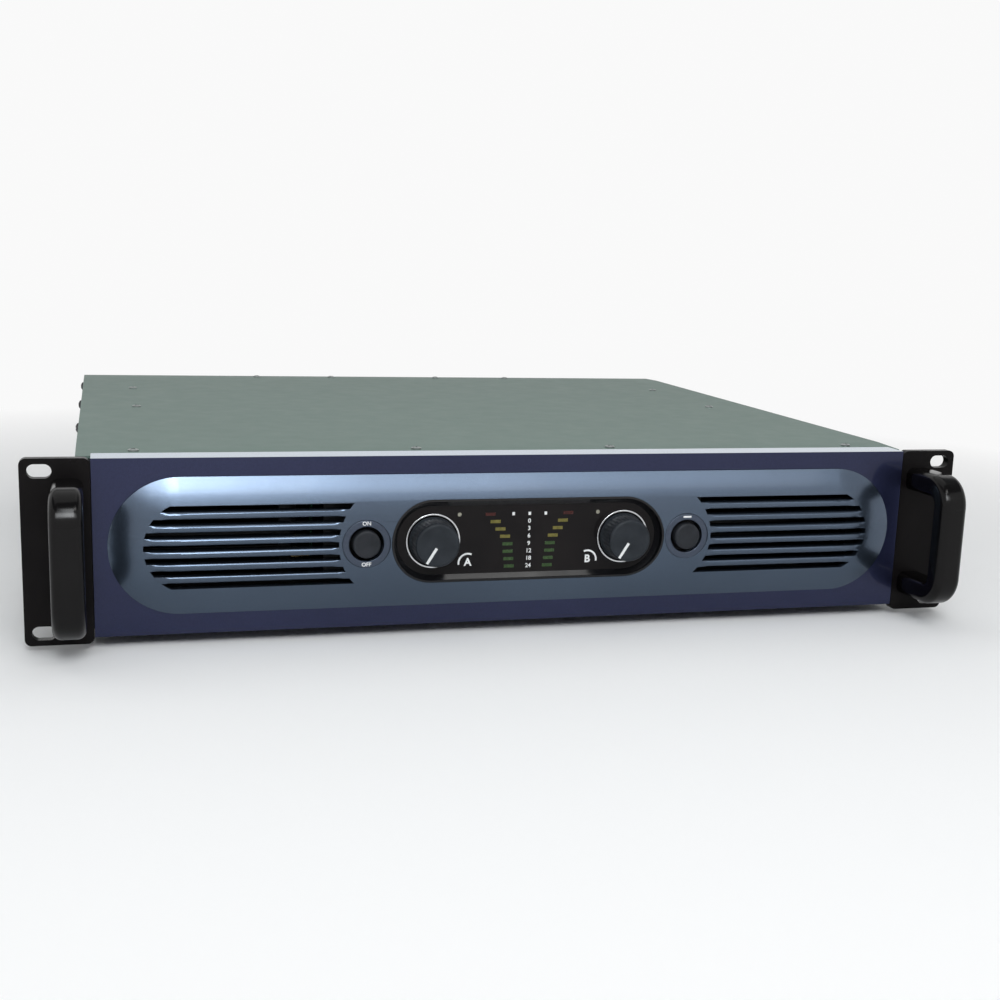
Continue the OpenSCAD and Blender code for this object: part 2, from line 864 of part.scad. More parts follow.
module ear(side) {
    flange_x = pan_half;
    plate_w = ear_out - ear_in;
    color("#1a1a1c") in_case() mirror([side < 0 ? 1 : 0, 0, 0]) difference() {
        union() {
            translate([ear_in + plate_w / 2, 0, ear_mid_z]) rotate([-90, 0, 0])
                linear_extrude(ear_t) round_rect(plate_w, ear_h, ear_corner_r);
            slab([flange_x, ear_t / 2, flange_z0],
                 [flange_x + ear_flange_t, ear_t + ear_flange_d, flange_z0 + ear_flange_h]);
        }
        for (sz = SIDES)
            translate([rack_slot_dx / 2, 0, ear_mid_z + sz * rack_slot_dz / 2])
                stadium((rack_slot_l - rack_slot_w) / 2, rack_slot_w / 2, -cut_over, ear_t + cut_over);
        for (sz = SIDES)
            translate([handle_x, 0, ear_mid_z + sz * handle_arm_z]) {
                rod_y(hole_r(m4), -cut_over, ear_t + cut_over);
                rod_y(m4[1] / 2 + hole_clear, ear_t - m4[2] - seat_clear, ear_t + cut_over);
            }
        for (z = ear_screw_zs)
            translate([0, ear_screw_y, z])
                rod_x(hole_r(m4), flange_x - cut_over, flange_x + ear_flange_t + cut_over);
    }
}

module left_ear() { ear(-1); }
module right_ear() { ear(1); }

// One bar bent twice: two arms and two bends join the upright grip
module handle(side) {
    bar_y = handle_mid - handle_reach;
    straight_half = handle_arm_z - handle_turn;
    color("#141416") in_case() translate([side * handle_x, 0, ear_mid_z]) difference() {
        union() {
            translate([0, bar_y, -straight_half]) linear_extrude(2 * straight_half)
                round_rect(handle_w, handle_bar, handle_edge_r);
            for (sz = SIDES)
                mirror([0, 0, sz < 0 ? 1 : 0]) {
                    translate([0, bar_y + handle_turn, straight_half])
                        rotate([0, -90, 0]) rotate([0, 0, -90]) rotate_extrude(angle = 90)
                            translate([handle_turn, 0]) rotate(90)
                                round_rect(handle_w, handle_bar, handle_edge_r);
                    translate([0, 0, handle_arm_z]) rotate([90, 0, 0]) linear_extrude(-bar_y - handle_turn)
                        round_rect(handle_w, handle_bar, handle_edge_r);
                }
        }
        for (sz = SIDES)
            translate([0, 0, sz * handle_arm_z]) rod_y(hole_r(m4), -handle_tap, cut_over);
    }
}

module left_handle() { handle(-1); }
module right_handle() { handle(1); }

// Screws that hold the handles to the ears, the ears to the case and the feet to its floor
module case_screws() {
    handle_screw_l = ear_t - m4[2] + handle_tap - tap_end;
    color("silver") in_case() {
        for (side = SIDES, sz = SIDES)
            translate([side * handle_x, ear_t - m4[2] - seat_clear, ear_mid_z + sz * handle_arm_z])
                head_back() screw(m4, handle_screw_l);
        for (side = SIDES, z = ear_screw_zs)
            translate([side * (pan_half + ear_flange_t), ear_screw_y, z])
                head_side(side) screw(m4, ear_flange_t + sheet + screw_end);
        foot_places() translate([0, 0, foot_h / 2]) head_down() screw(m4, foot_h / 2 + sheet);
    }
}

// Case

module corner_screw_places(y) {
    for (sx = SIDES, sz = SIDES)
        translate([sx * (inside_half - flange_w / 2), y, inside_mid_z + sz * corner_screw_dz]) children();
}

module case_wall(side) {
    x0 = side < 0 ? -pan_half : inside_half;
    slab([x0, subpanel_y0, pan_z0], [x0 + sheet, body_d, wall_top_z]);
    f0 = side < 0 ? -inside_half : inside_half - flange_w;
    for (y0 = [subpanel_y1, rear_y0 - sheet])
        slab([f0 - (side > 0 ? 0 : sheet / 2), y0, floor_z - sheet / 2],
             [f0 + flange_w + (side > 0 ? sheet / 2 : 0), y0 + sheet, wall_top_z]);
}

module foot_places() {
    for (sx = SIDES, y = [foot_front, body_d - foot_rear])
        translate([sx * (body_w / 2 - foot_inset), y, 0]) children();
}

module chassis_pan() {
    color("slategray") in_case() difference() {
        union() {
            slab([-pan_half, subpanel_y0, pan_z0], [pan_half, body_d, floor_z]);
            for (side = SIDES) case_wall(side);
        }
        foot_places() rod_z(hole_r(m4), pan_z0 - cut_over, floor_z + cut_over);
        translate([0, transformer_y, 0])
            rod_z(bolt_d / 2 + hole_clear, pan_z0 - cut_over, floor_z + cut_over);
        corner_screw_places(0) {
            rod_y(hole_r(m3), subpanel_y1 - cut_over, subpanel_y1 + sheet + cut_over);
            rod_y(hole_r(m3), rear_y0 - sheet - cut_over, rear_y0 + cut_over);
        }
        for (y = side_screw_ys)
            translate([0, y, side_screw_z]) rod_x(hole_r(m3), -pan_half - cut_over, pan_half + cut_over);
        for (z = ear_screw_zs)
            translate([0, ear_screw_y, z]) rod_x(hole_r(m4), -pan_half - cut_over, pan_half + cut_over);
    }
}

module front_subpanel() {
    vent_x0 = louvre_in_x + louvre_in_r + vent_margin;
    color("lightslategray") in_case() difference() {
        union() {
            slab([-inside_half, subpanel_y0, floor_z], [inside_half, subpanel_y1, wall_top_z]);
            slab([-lip_half, subpanel_y0, wall_top_z - sheet],
                 [lip_half, panel_d + cover_strip, wall_top_z]);
        }
        translate([0, 0, control_z]) {
            slab([-board_half - board_gap, subpanel_y0 - cut_over, -board_r],
                 [board_half + board_gap, subpanel_y1 + cut_over, board_r]);
            for (side = SIDES) {
                translate([side * button_x, 0, 0])
                    rod_y(switch_neck_d / 2 + hole_clear, subpanel_y0 - cut_over, subpanel_y1 + cut_over);
                mirror([side < 0 ? 1 : 0, 0, 0])
                    slab([vent_x0, subpanel_y0 - cut_over, -louvre_out_r],
                         [louvre_out_x + louvre_out_r, subpanel_y1 + cut_over, louvre_out_r]);
            }
        }
        panel_bosses(hole_r(m3), subpanel_y0 - cut_over, subpanel_y1 + cut_over);
        corner_screw_places(0) rod_y(hole_r(m3), subpanel_y0 - cut_over, subpanel_y1 + cut_over);
        for (side = SIDES, x = strip_screw_xs)
            translate([side * x, strip_screw_y, 0])
                rod_z(hole_r(m3), wall_top_z - sheet - cut_over, wall_top_z + cut_over);
    }
}

module fan_places() {
    for (side = SIDES)
        translate([side * fan_x, 0, inside_mid_z]) children();
}

module fan_corners() {
    for (sx = SIDES, sz = SIDES)
        translate([sx * fan_hole, 0, sz * fan_hole]) children();
}

module rear_panel() {
    y0 = rear_y0 - cut_over;
    y1 = body_d + cut_over;
    color("slategray") in_case() difference() {
        union() {
            slab([-inside_half, rear_y0, floor_z], [inside_half, body_d, wall_top_z]);
            slab([-rear_flange_half, body_d - cover_strip, wall_top_z - sheet],
                 [rear_flange_half, body_d, wall_top_z]);
        }
        corner_screw_places(0) rod_y(hole_r(m3), y0, y1);
        fan_places() {
            rod_y(fan_bore_r, y0, y1);
            fan_corners() rod_y(fan_hole_d / 2, y0, y1);
        }
        translate([inlet_x, 0, inlet_z]) {
            slab([-inlet_body.x / 2 - seat_clear, y0, -inlet_body.y / 2 - seat_clear],
                 [inlet_body.x / 2 + seat_clear, y1, inlet_body.y / 2 + seat_clear]);
            for (side = SIDES) translate([side * inlet_screw_dx, 0, 0]) rod_y(hole_r(m3), y0, y1);
        }
        translate([inlet_x, 0, breaker_z]) rod_y(breaker_neck_d / 2 + hole_clear, y0, y1);
        for (x = jack_xs) translate([x, 0, inside_mid_z]) rod_y(jack_neck_d / 2 + hole_clear, y0, y1);
        translate([terminal_x, 0, inside_mid_z])
            slab([-terminal_w / 2 - seat_clear, y0, -terminal_h / 2 - seat_clear],
                 [terminal_w / 2 + seat_clear, y1, terminal_h / 2 + seat_clear]);
        translate([mode_x, 0, inside_mid_z]) mode_slot(y0, y1);
        for (side = SIDES, x = rear_strip_screw_xs)
            translate([side * x, body_d - strip_screw_y + panel_d, 0])
                rod_z(hole_r(m3), wall_top_z - sheet - cut_over, wall_top_z + cut_over);
    }
}

module panel_screws() {
    color("silver") in_case() {
        panel_corners() translate([0, subpanel_y1, 0]) head_back() screw(m3, corner_screw_l);
        for (sx = SIDES, sz = SIDES)
            translate([sx * boss_x, pot_y0, control_z + sz * boss_z]) head_back() screw(m3, board_screw_l);
        corner_screw_places(subpanel_y1 + sheet) head_back() screw(m3, 2 * sheet);
        corner_screw_places(body_d) head_back() screw(m3, rear_screw_l);
        for (side = SIDES)
            translate([inlet_x + side * inlet_screw_dx, body_d + inlet_flange_t, inlet_z])
                head_back() screw(m3, inlet_screw_l);
    }
}

// The cover's section along Y, with sloping strips at its front and rear edges
function cover_edge(z) = [
    [panel_d, z - cover_fall], [panel_d + cover_strip, z],
    [body_d - cover_strip, z], [body_d, z - cover_fall]
];

module along_x(x0, x1) {
    translate([x0, 0, 0]) rotate([90, 0, 90]) linear_extrude(x1 - x0) children();
}

module cover_top_places() {
    head_lift = low_m3[1] / 2 * cover_fall / cover_strip;
    strip_z = cover_top_z - cover_fall * (1 - (strip_screw_y - panel_d) / cover_strip) + head_lift;
    for (side = SIDES) {
        for (x = strip_screw_xs) translate([side * x, strip_screw_y, strip_z]) children();
        for (x = rear_strip_screw_xs)
            translate([side * x, body_d - strip_screw_y + panel_d, strip_z]) children();
        for (y = rail_screw_ys) translate([side * rail_screw_x, y, cover_top_z]) children();
    }
}

module cover_side_places() {
    for (side = SIDES, y = side_screw_ys)
        translate([side * body_w / 2, y, side_screw_z]) head_side(side) children();
}

module top_cover() {
    lip_z = cover_top_z - cover_lip;
    upper = cover_edge(cover_top_z);
    lower = cover_edge(cover_under_z);
    color("#7d918a") in_case() difference() {
        union() {
            along_x(-body_w / 2, body_w / 2)
                polygon(concat(upper, [lower[3], lower[2], lower[1], lower[0]]));
            for (side = SIDES) {
                x0 = side < 0 ? -body_w / 2 : body_w / 2 - cover_sheet;
                along_x(x0, x0 + cover_sheet) polygon(concat([[panel_d, lip_z]], upper, [[body_d, lip_z]]));
            }
        }
        cover_top_places() rod_z(hole_r(m3), -cover_screw_l, cover_screw_l);
        cover_side_places() rod_z(hole_r(m3), -cover_screw_l, cover_screw_l);
    }
}

module cover_screws() {
    color("gray") in_case() {
        cover_top_places() screw(low_m3, cover_screw_l);
        cover_side_places() screw(m3, cover_screw_l);
    }
}

module rubber_feet() {
    color("#202020") in_case() foot_places() difference() {
        cylinder(d1 = foot_d - foot_taper, d2 = foot_d, h = foot_h);
        translate([0, 0, -cut_over]) cylinder(d = m4[1] + foot_recess, h = cut_over + foot_h / 2);
        translate([0, 0, foot_h / 2]) cylinder(r = hole_r(m4), h = foot_h);
    }
}

// Power supply

module transformer() {
    flat_w = (transformer_d - transformer_hole_d) / 2;
    color("goldenrod") in_case() translate([0, transformer_y, transformer_z0]) rotate_extrude()
        translate([transformer_hole_d / 2 + flat_w / 2, transformer_h / 2])
            round_rect(flat_w, transformer_h, transformer_edge);
}

module transformer_pads() {
    pad_d = transformer_d - 2 * transformer_edge;
    color("#303030") in_case() for (z = [floor_z, transformer_z0 + transformer_h])
        translate([0, transformer_y, z]) difference() {
            cylinder(d = z == floor_z ? pad_d : plate_d, h = pad_t);
            translate([0, 0, -cut_over]) cylinder(d = transformer_hole_d, h = pad_t + 2 * cut_over);
        }
}

module transformer_plate() {
    color("silver") in_case() translate([0, transformer_y, 0]) difference() {
        rod_z(plate_d / 2, plate_z, plate_z + plate_t);
        rod_z(bolt_d / 2 + hole_clear, plate_z - cut_over, plate_z + plate_t + cut_over);
    }
}

module transformer_bolt() {
    color("lightgray") in_case() translate([0, transformer_y, 0]) {
        rod_z(bolt_d / 2, pan_z0 - bolt_foot_h, plate_z + plate_t);
        translate([0, 0, plate_z + plate_t]) cylinder(d = bolt_head_d, h = bolt_head_h, $fn = 6);
        rod_z(bolt_head_d / 2, pan_z0 - bolt_foot_h, pan_z0);
    }
}

module standoff_places() {
    for (sx = SIDES, y = [supply_y0 + standoff_inset, supply_y1 - standoff_inset])
        translate([sx * (supply_half - standoff_inset), y, 0]) children();
}

module supply_board() {
    color("seagreen") in_case()
        slab([-supply_half, supply_y0, supply_z], [supply_half, supply_y1, supply_z + board_t]);
}

module filter_capacitors() {
    mid_y = (supply_y0 + supply_y1) / 2;
    color("#24305a") in_case() for (sx = SIDES, sy = SIDES)
        translate([sx * capacitor_dx, mid_y + sy * capacitor_dy, supply_z + board_t])
            cylinder(d = capacitor_d, h = capacitor_h);
}

module bridge_rectifier() {
    color("dimgray") in_case()
        translate([-rectifier.x / 2, rectifier_y - rectifier.y / 2, floor_z]) cube(rectifier);
}

// Wiring

// From the mains inlet forward along the case, across and up, then into the back of the power switch
module mains_cable() {
    r = cable_d / 2;
    switch_y = subpanel_y1 + switch_l;
    turn_y = switch_y + cable_gap;
    corners = [
        [inlet_x, turn_y, inlet_z], [-button_x, turn_y, inlet_z], [-button_x, turn_y, control_z]
    ];
    color("#2a2a2a") in_case() {
        translate([inlet_x, 0, inlet_z]) rod_y(r, turn_y, body_d - inlet_l);
        translate([0, turn_y, inlet_z]) rod_x(r, min(inlet_x, -button_x), max(inlet_x, -button_x));
        translate([-button_x, turn_y, 0]) rod_z(r, inlet_z, control_z);
        translate([-button_x, 0, control_z]) rod_y(r, switch_y, turn_y);
        for (corner = corners)
            translate(corner) sphere(cable_elbow);
    }
}

// Folded flat cable from the control board, over the transformer, down to the supply board
module ribbon_cable() {
    half = ribbon_w / 2;
    start_z = control_z + boss_z;
    top_z = wall_top_z - sheet - ribbon_gap;
    down_y = (supply_y0 + supply_y1) / 2;
    color("gray") in_case() {
        slab([-half, pot_y0, start_z], [half, ribbon_y, start_z + ribbon_t]);
        slab([-half, ribbon_y, start_z], [half, ribbon_y + ribbon_t, top_z]);
        slab([-half, ribbon_y, top_z - ribbon_t], [half, down_y, top_z]);
        slab([-half, down_y, supply_z + board_t], [half, down_y + ribbon_t, top_z]);
    }
}

// Amplifier channels

module heatsinks() {
    span = cover_under_z - floor_z;
    fin_pitch = (span - heatsink_foot - heatsink_rail) / (fin_count + 1);
    color("silver") in_case() for (side = SIDES)
        mirror([side < 0 ? 1 : 0, 0, 0]) difference() {
            translate([0, heatsink_y0 + heatsink_l, floor_z]) rotate([90, 0, 0]) linear_extrude(heatsink_l)
                translate([heatsink_x0, 0]) {
                    square([heatsink_base, span]);
                    square([heatsink_w, heatsink_foot]);
                    translate([0, span - heatsink_rail]) square([heatsink_w, heatsink_rail]);
                    for (fin = [1 : fin_count])
                        translate([0, heatsink_foot + fin * fin_pitch - fin_t / 2])
                            square([heatsink_w, fin_t]);
                }
            for (y = rail_screw_ys)
                translate([rail_screw_x, y, 0])
                    rod_z(hole_r(m3), cover_under_z - cover_screw_l, cover_under_z + cut_over);
        }
}

module output_transistors() {
    pitch = heatsink_l / transistor_count;
    color("#1c1c1c") in_case() for (side = SIDES, i = [0 : transistor_count - 1])
        mirror([side < 0 ? 1 : 0, 0, 0])
            translate([heatsink_x0 - transistor.x, heatsink_y0 + (i + 0.5) * pitch - transistor.y / 2,
                       transistor_z])
                cube(transistor);
}

module amp_boards() {
    color("seagreen") in_case() for (side = SIDES)
        mirror([side < 0 ? 1 : 0, 0, 0])
            slab([amp_board_x, heatsink_y0 + amp_margin, amp_board_z0],
                 [amp_board_x + board_t, heatsink_y0 + heatsink_l - amp_margin, amp_board_z1]);
}

module board_spacers() {
    spacer_y0 = heatsink_y0 + amp_margin + spacer_margin;
    spacer_y1 = heatsink_y0 + heatsink_l - amp_margin - spacer_margin;
    color("gold") in_case() {
        for (side = SIDES)
            mirror([side < 0 ? 1 : 0, 0, 0])
                for (y = [spacer_y0, spacer_y1],
                     z = [amp_board_z0 + spacer_inset, amp_board_z1 - spacer_inset])
                    translate([0, y, z]) rod_x(spacer_d / 2, amp_board_x + board_t, heatsink_x0);
        standoff_places() rod_z(spacer_d / 2, floor_z, supply_z);
    }
}

// Fans

motor_y = rear_y0 - motor_t;

module fan_frames() {
    half = fan_size / 2;
    color("#1b1b1b") in_case() fan_places() {
        difference() {
            slab([-half, fan_y0, -half], [half, rear_y0, half]);
            rod_y(fan_bore_r, fan_y0 - cut_over, rear_y0 + cut_over);
            fan_corners() rod_y(fan_hole_d / 2, fan_y0 - cut_over, rear_y0 + cut_over);
        }
        difference() {
            union() {
                rod_y(hub_r, motor_y, rear_y0);
                for (turn = [45 : 90 : 315])
                    rotate([0, turn, 0])
                        slab([-strut_w / 2, motor_y, hub_r / 2],
                             [strut_w / 2, rear_y0, fan_bore_r + strut_root]);
            }
            rod_y(fan_pin_d / 2 + run_clear, motor_y - cut_over, rear_y0 + cut_over);
        }
    }
}

module fan_rotor(side) {
    y0 = fan_y0 + rotor_inset;
    y1 = motor_y - motor_gap;
    color("#262626") in_case() translate([side * fan_x, 0, inside_mid_z]) {
        rod_y(hub_r, y0, y1);
        rod_y(fan_pin_d / 2, y1 - rotor_edge, rear_y0 - pin_gap);
        for (blade = [0 : fan_blades - 1])
            rotate([0, blade * 360 / fan_blades, 0]) intersection() {
                rod_y(fan_bore_r - blade_gap, y0 + rotor_edge, y1 - rotor_edge);
                translate([0, (y0 + y1) / 2, 0]) rotate([0, 0, blade_pitch])
                    slab([-fan_d, -blade_t / 2, hub_r - blade_root], [fan_d, blade_t / 2, fan_bore_r]);
            }
    }
}

module fan_rotor_a() { fan_rotor(-1); }
module fan_rotor_b() { fan_rotor(1); }

module guard_ring(r, y) {
    translate([0, y, 0]) rotate([-90, 0, 0]) rotate_extrude()
        translate([r, 0]) circle(d = guard_wire, $fn = wire_fn);
}

// Rings welded onto two crossed wires that end in screw eyelets
module fan_guards() {
    wire_y = body_d + guard_gap + guard_wire / 2;
    color("silver") in_case() fan_places() difference() {
        union() {
            for (r = guard_rings) guard_ring(r, wire_y + guard_weld);
            for (turn = [45, 135])
                translate([0, wire_y, 0]) rotate([0, turn, 0])
                    rod_z(guard_wire / 2, -fan_hole * sqrt(2), fan_hole * sqrt(2));
            fan_corners() rod_y(eyelet_d / 2, body_d, body_d + eyelet_t);
        }
        fan_corners() rod_y(fan_hole_d / 2, body_d - cut_over, body_d + eyelet_t + cut_over);
    }
}

module fan_screws() {
    color("#303030") in_case() fan_places() fan_corners() translate([0, body_d + eyelet_t, 0])
        head_back() screw(m4, eyelet_t + sheet + fan_d - fan_screw_gap);
}

// Rear connections

module mains_inlet() {
    color("#161616") in_case() translate([inlet_x, 0, inlet_z]) difference() {
        union() {
            slab([-inlet_body.x / 2, body_d - inlet_l, -inlet_body.y / 2],
                 [inlet_body.x / 2, body_d, inlet_body.y / 2]);
            slab([-inlet_flange.x / 2, body_d, -inlet_flange.y / 2],
                 [inlet_flange.x / 2, body_d + inlet_flange_t, inlet_flange.y / 2]);
        }
        slab([-inlet_mouth.x / 2, body_d - inlet_floor, -inlet_mouth.y / 2],
             [inlet_mouth.x / 2, body_d + inlet_flange_t + cut_over, inlet_mouth.y / 2]);
        for (side = SIDES)
            translate([side * inlet_screw_dx, 0, 0])
                rod_y(hole_r(m3), body_d - cut_over, body_d + inlet_flange_t + cut_over);
    }
}

module inlet_pins() {
    y0 = body_d - inlet_floor;
    color("goldenrod") in_case() for (i = [-1 : 1])
        translate([inlet_x + i * pin_dx, 0, inlet_z + (i == 0 ? pin_lift : -pin_lift)])
            slab([-pin_size.x / 2, y0, -pin_size.y / 2], [pin_size.x / 2, y0 + pin_l, pin_size.y / 2]);
}

module breaker() {
    color("#1e1e1e") in_case() translate([inlet_x, 0, breaker_z]) difference() {
        union() {
            rod_y(breaker_d / 2, rear_y0 - breaker_l, rear_y0);
            rod_y(breaker_neck_d / 2, rear_y0 - cut_over, body_d + breaker_neck_l);
        }
        rod_y(breaker_button_d / 2 + run_clear, rear_y0 - breaker_grip - breaker_gap,
              body_d + breaker_neck_l + cut_over);
    }
}

module breaker_button() {
    color("whitesmoke") in_case() translate([inlet_x, 0, breaker_z])
        rod_y(breaker_button_d / 2, rear_y0 - breaker_grip, body_d + breaker_neck_l + breaker_proud);
}

module input_jacks() {
    color("#1a1a1a") in_case() for (x = jack_xs)
        translate([x, 0, inside_mid_z]) difference() {
            union() {
                slab([-jack_body.x / 2, rear_y0 - jack_l, -jack_body.y / 2],
                     [jack_body.x / 2, rear_y0, jack_body.y / 2]);
                rod_y(jack_neck_d / 2, rear_y0 - cut_over, body_d + jack_neck_l);
                translate([0, body_d, 0]) rotate([-90, 0, 0])
                    cylinder(d = jack_nut_d, h = jack_nut_t, $fn = 6);
            }
            rod_y(jack_bore_d / 2, rear_y0 - jack_l + jack_floor, body_d + jack_neck_l + cut_over);
        }
}

module terminal_places() {
    for (i = [0 : terminal_count - 1])
        translate([terminal_x + (i - (terminal_count - 1) / 2) * terminal_pitch, 0, inside_mid_z])
            children();
}

module speaker_terminals() {
    half = terminal_w / 2;
    color("#181818") in_case() difference() {
        translate([terminal_x, 0, inside_mid_z]) {
            slab([-half, rear_y0 - terminal_back, -terminal_h / 2],
                 [half, body_d + terminal_face, terminal_h / 2]);
            slab([-half - terminal_flange, body_d, -terminal_h / 2],
                 [half + terminal_flange, body_d + terminal_face, terminal_h / 2]);
            for (i = [0 : terminal_count])
                translate([-half + i * terminal_pitch, 0, 0])
                    slab([0, body_d, -terminal_h / 2],
                         [terminal_wall, body_d + terminal_reach, terminal_h / 2]);
        }
        terminal_places() rod_y(hole_r(m4), body_d - terminal_hole_l, body_d + terminal_face + cut_over);
    }
}

module terminal_screws() {
    color("silver") in_case() terminal_places() translate([0, body_d + terminal_face, 0])
        head_back() screw(m4, terminal_screw_l);
}

// The slot that the mode slider runs in, from its lowest place upwards
module mode_slot(y0, y1) {
    slab([-mode_nub.x / 2 - mode_gap, y0, -(mode_travel + mode_nub.y) / 2 - mode_gap],
         [mode_nub.x / 2 + mode_gap, y1, (mode_travel + mode_nub.y) / 2 + mode_gap]);
}

module mode_switch() {
    color("#202020") in_case() translate([mode_x, 0, inside_mid_z]) difference() {
        slab([-mode_body.x / 2, rear_y0 - mode_body.z, -mode_body.y / 2],
             [mode_body.x / 2, rear_y0, mode_body.y / 2]);
        mode_slot(rear_y0 - mode_sink - mode_gap, rear_y0 + cut_over);
    }
}

module mode_slider() {
    color("whitesmoke") in_case() translate([mode_x, 0, inside_mid_z - (mode_travel + mode_nub.y) / 2])
        slab([-mode_nub.x / 2, rear_y0 - mode_sink, 0], [mode_nub.x / 2, body_d + mode_proud, mode_nub.y]);
}

front_panel();
grille_bezel();
bezel_clips();
button_rings();
window_frame();
display_window();
knob_rings();
level_knob_a();
level_knob_b();
knob_pointer_a();
knob_pointer_b();
pot_shaft_a();
pot_shaft_b();
level_pots();
control_board();
leds_red();
leds_yellow();
leds_green();
power_button();
limiter_button();
push_switches();
left_ear();
right_ear();
left_handle();
right_handle();
case_screws();
chassis_pan();
front_subpanel();
rear_panel();
panel_screws();
top_cover();
cover_screws();
rubber_feet();
transformer();
transformer_pads();
transformer_plate();
transformer_bolt();
heatsinks();
output_transistors();
amp_boards();
board_spacers();
supply_board();
filter_capacitors();
bridge_rectifier();
mains_cable();
ribbon_cable();
fan_frames();
fan_rotor_a();
fan_rotor_b();
fan_guards();
fan_screws();
mains_inlet();
inlet_pins();
breaker();
breaker_button();
input_jacks();
speaker_terminals();
terminal_screws();
mode_switch();
mode_slider();
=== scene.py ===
import json
import math

import bmesh
import bpy
from mathutils import Euler, Matrix, Vector


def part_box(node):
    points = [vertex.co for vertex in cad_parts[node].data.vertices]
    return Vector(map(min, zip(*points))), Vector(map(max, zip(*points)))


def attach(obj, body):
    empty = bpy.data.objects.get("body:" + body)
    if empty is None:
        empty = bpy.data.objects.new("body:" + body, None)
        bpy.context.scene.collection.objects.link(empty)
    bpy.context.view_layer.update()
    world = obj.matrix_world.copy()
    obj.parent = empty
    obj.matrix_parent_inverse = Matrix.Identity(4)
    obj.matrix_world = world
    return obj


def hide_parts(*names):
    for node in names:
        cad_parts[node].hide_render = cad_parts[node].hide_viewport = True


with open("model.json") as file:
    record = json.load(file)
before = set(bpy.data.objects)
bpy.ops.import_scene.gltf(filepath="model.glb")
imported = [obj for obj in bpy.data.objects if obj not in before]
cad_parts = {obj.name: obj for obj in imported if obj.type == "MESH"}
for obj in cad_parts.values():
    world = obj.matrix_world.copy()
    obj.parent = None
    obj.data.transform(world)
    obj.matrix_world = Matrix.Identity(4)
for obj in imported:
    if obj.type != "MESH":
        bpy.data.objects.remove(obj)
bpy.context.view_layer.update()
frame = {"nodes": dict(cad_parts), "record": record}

# Places in millimetres, measured from the front of the ears and the plane under the feet
MM = 0.001
EAR_FRONT = -185.5
EAR_Z = 47.05
CONTROL_Z = 49.05
MID_Z = 47.95
COVER_TOP = 90.4
BODY_HALF = 217.0
PAN_HALF = 215.8
BODY_DEPTH = 400.0
LENS_FRONT = -2.6
KNOB_X = 49.5
BUTTON_X = 83.2
SIDES = (-1, 1)

BODY_OF = {n: b for b, ns in frame["record"]["behaviour"]["bodies"].items() for n in ns}
SLOT_OF = {s["node"]: s["material_slot"] for s in frame["record"]["subparts"]}


def at(x, y, z):
    """A place on the amplifier, in metres in the shared frame."""
    return Vector((x, y + EAR_FRONT, z)) * MM


def on_controls(x, y, z):
    """A place measured from the middle of the row of controls."""
    return at(x, y, CONTROL_Z + z)


# Finishes

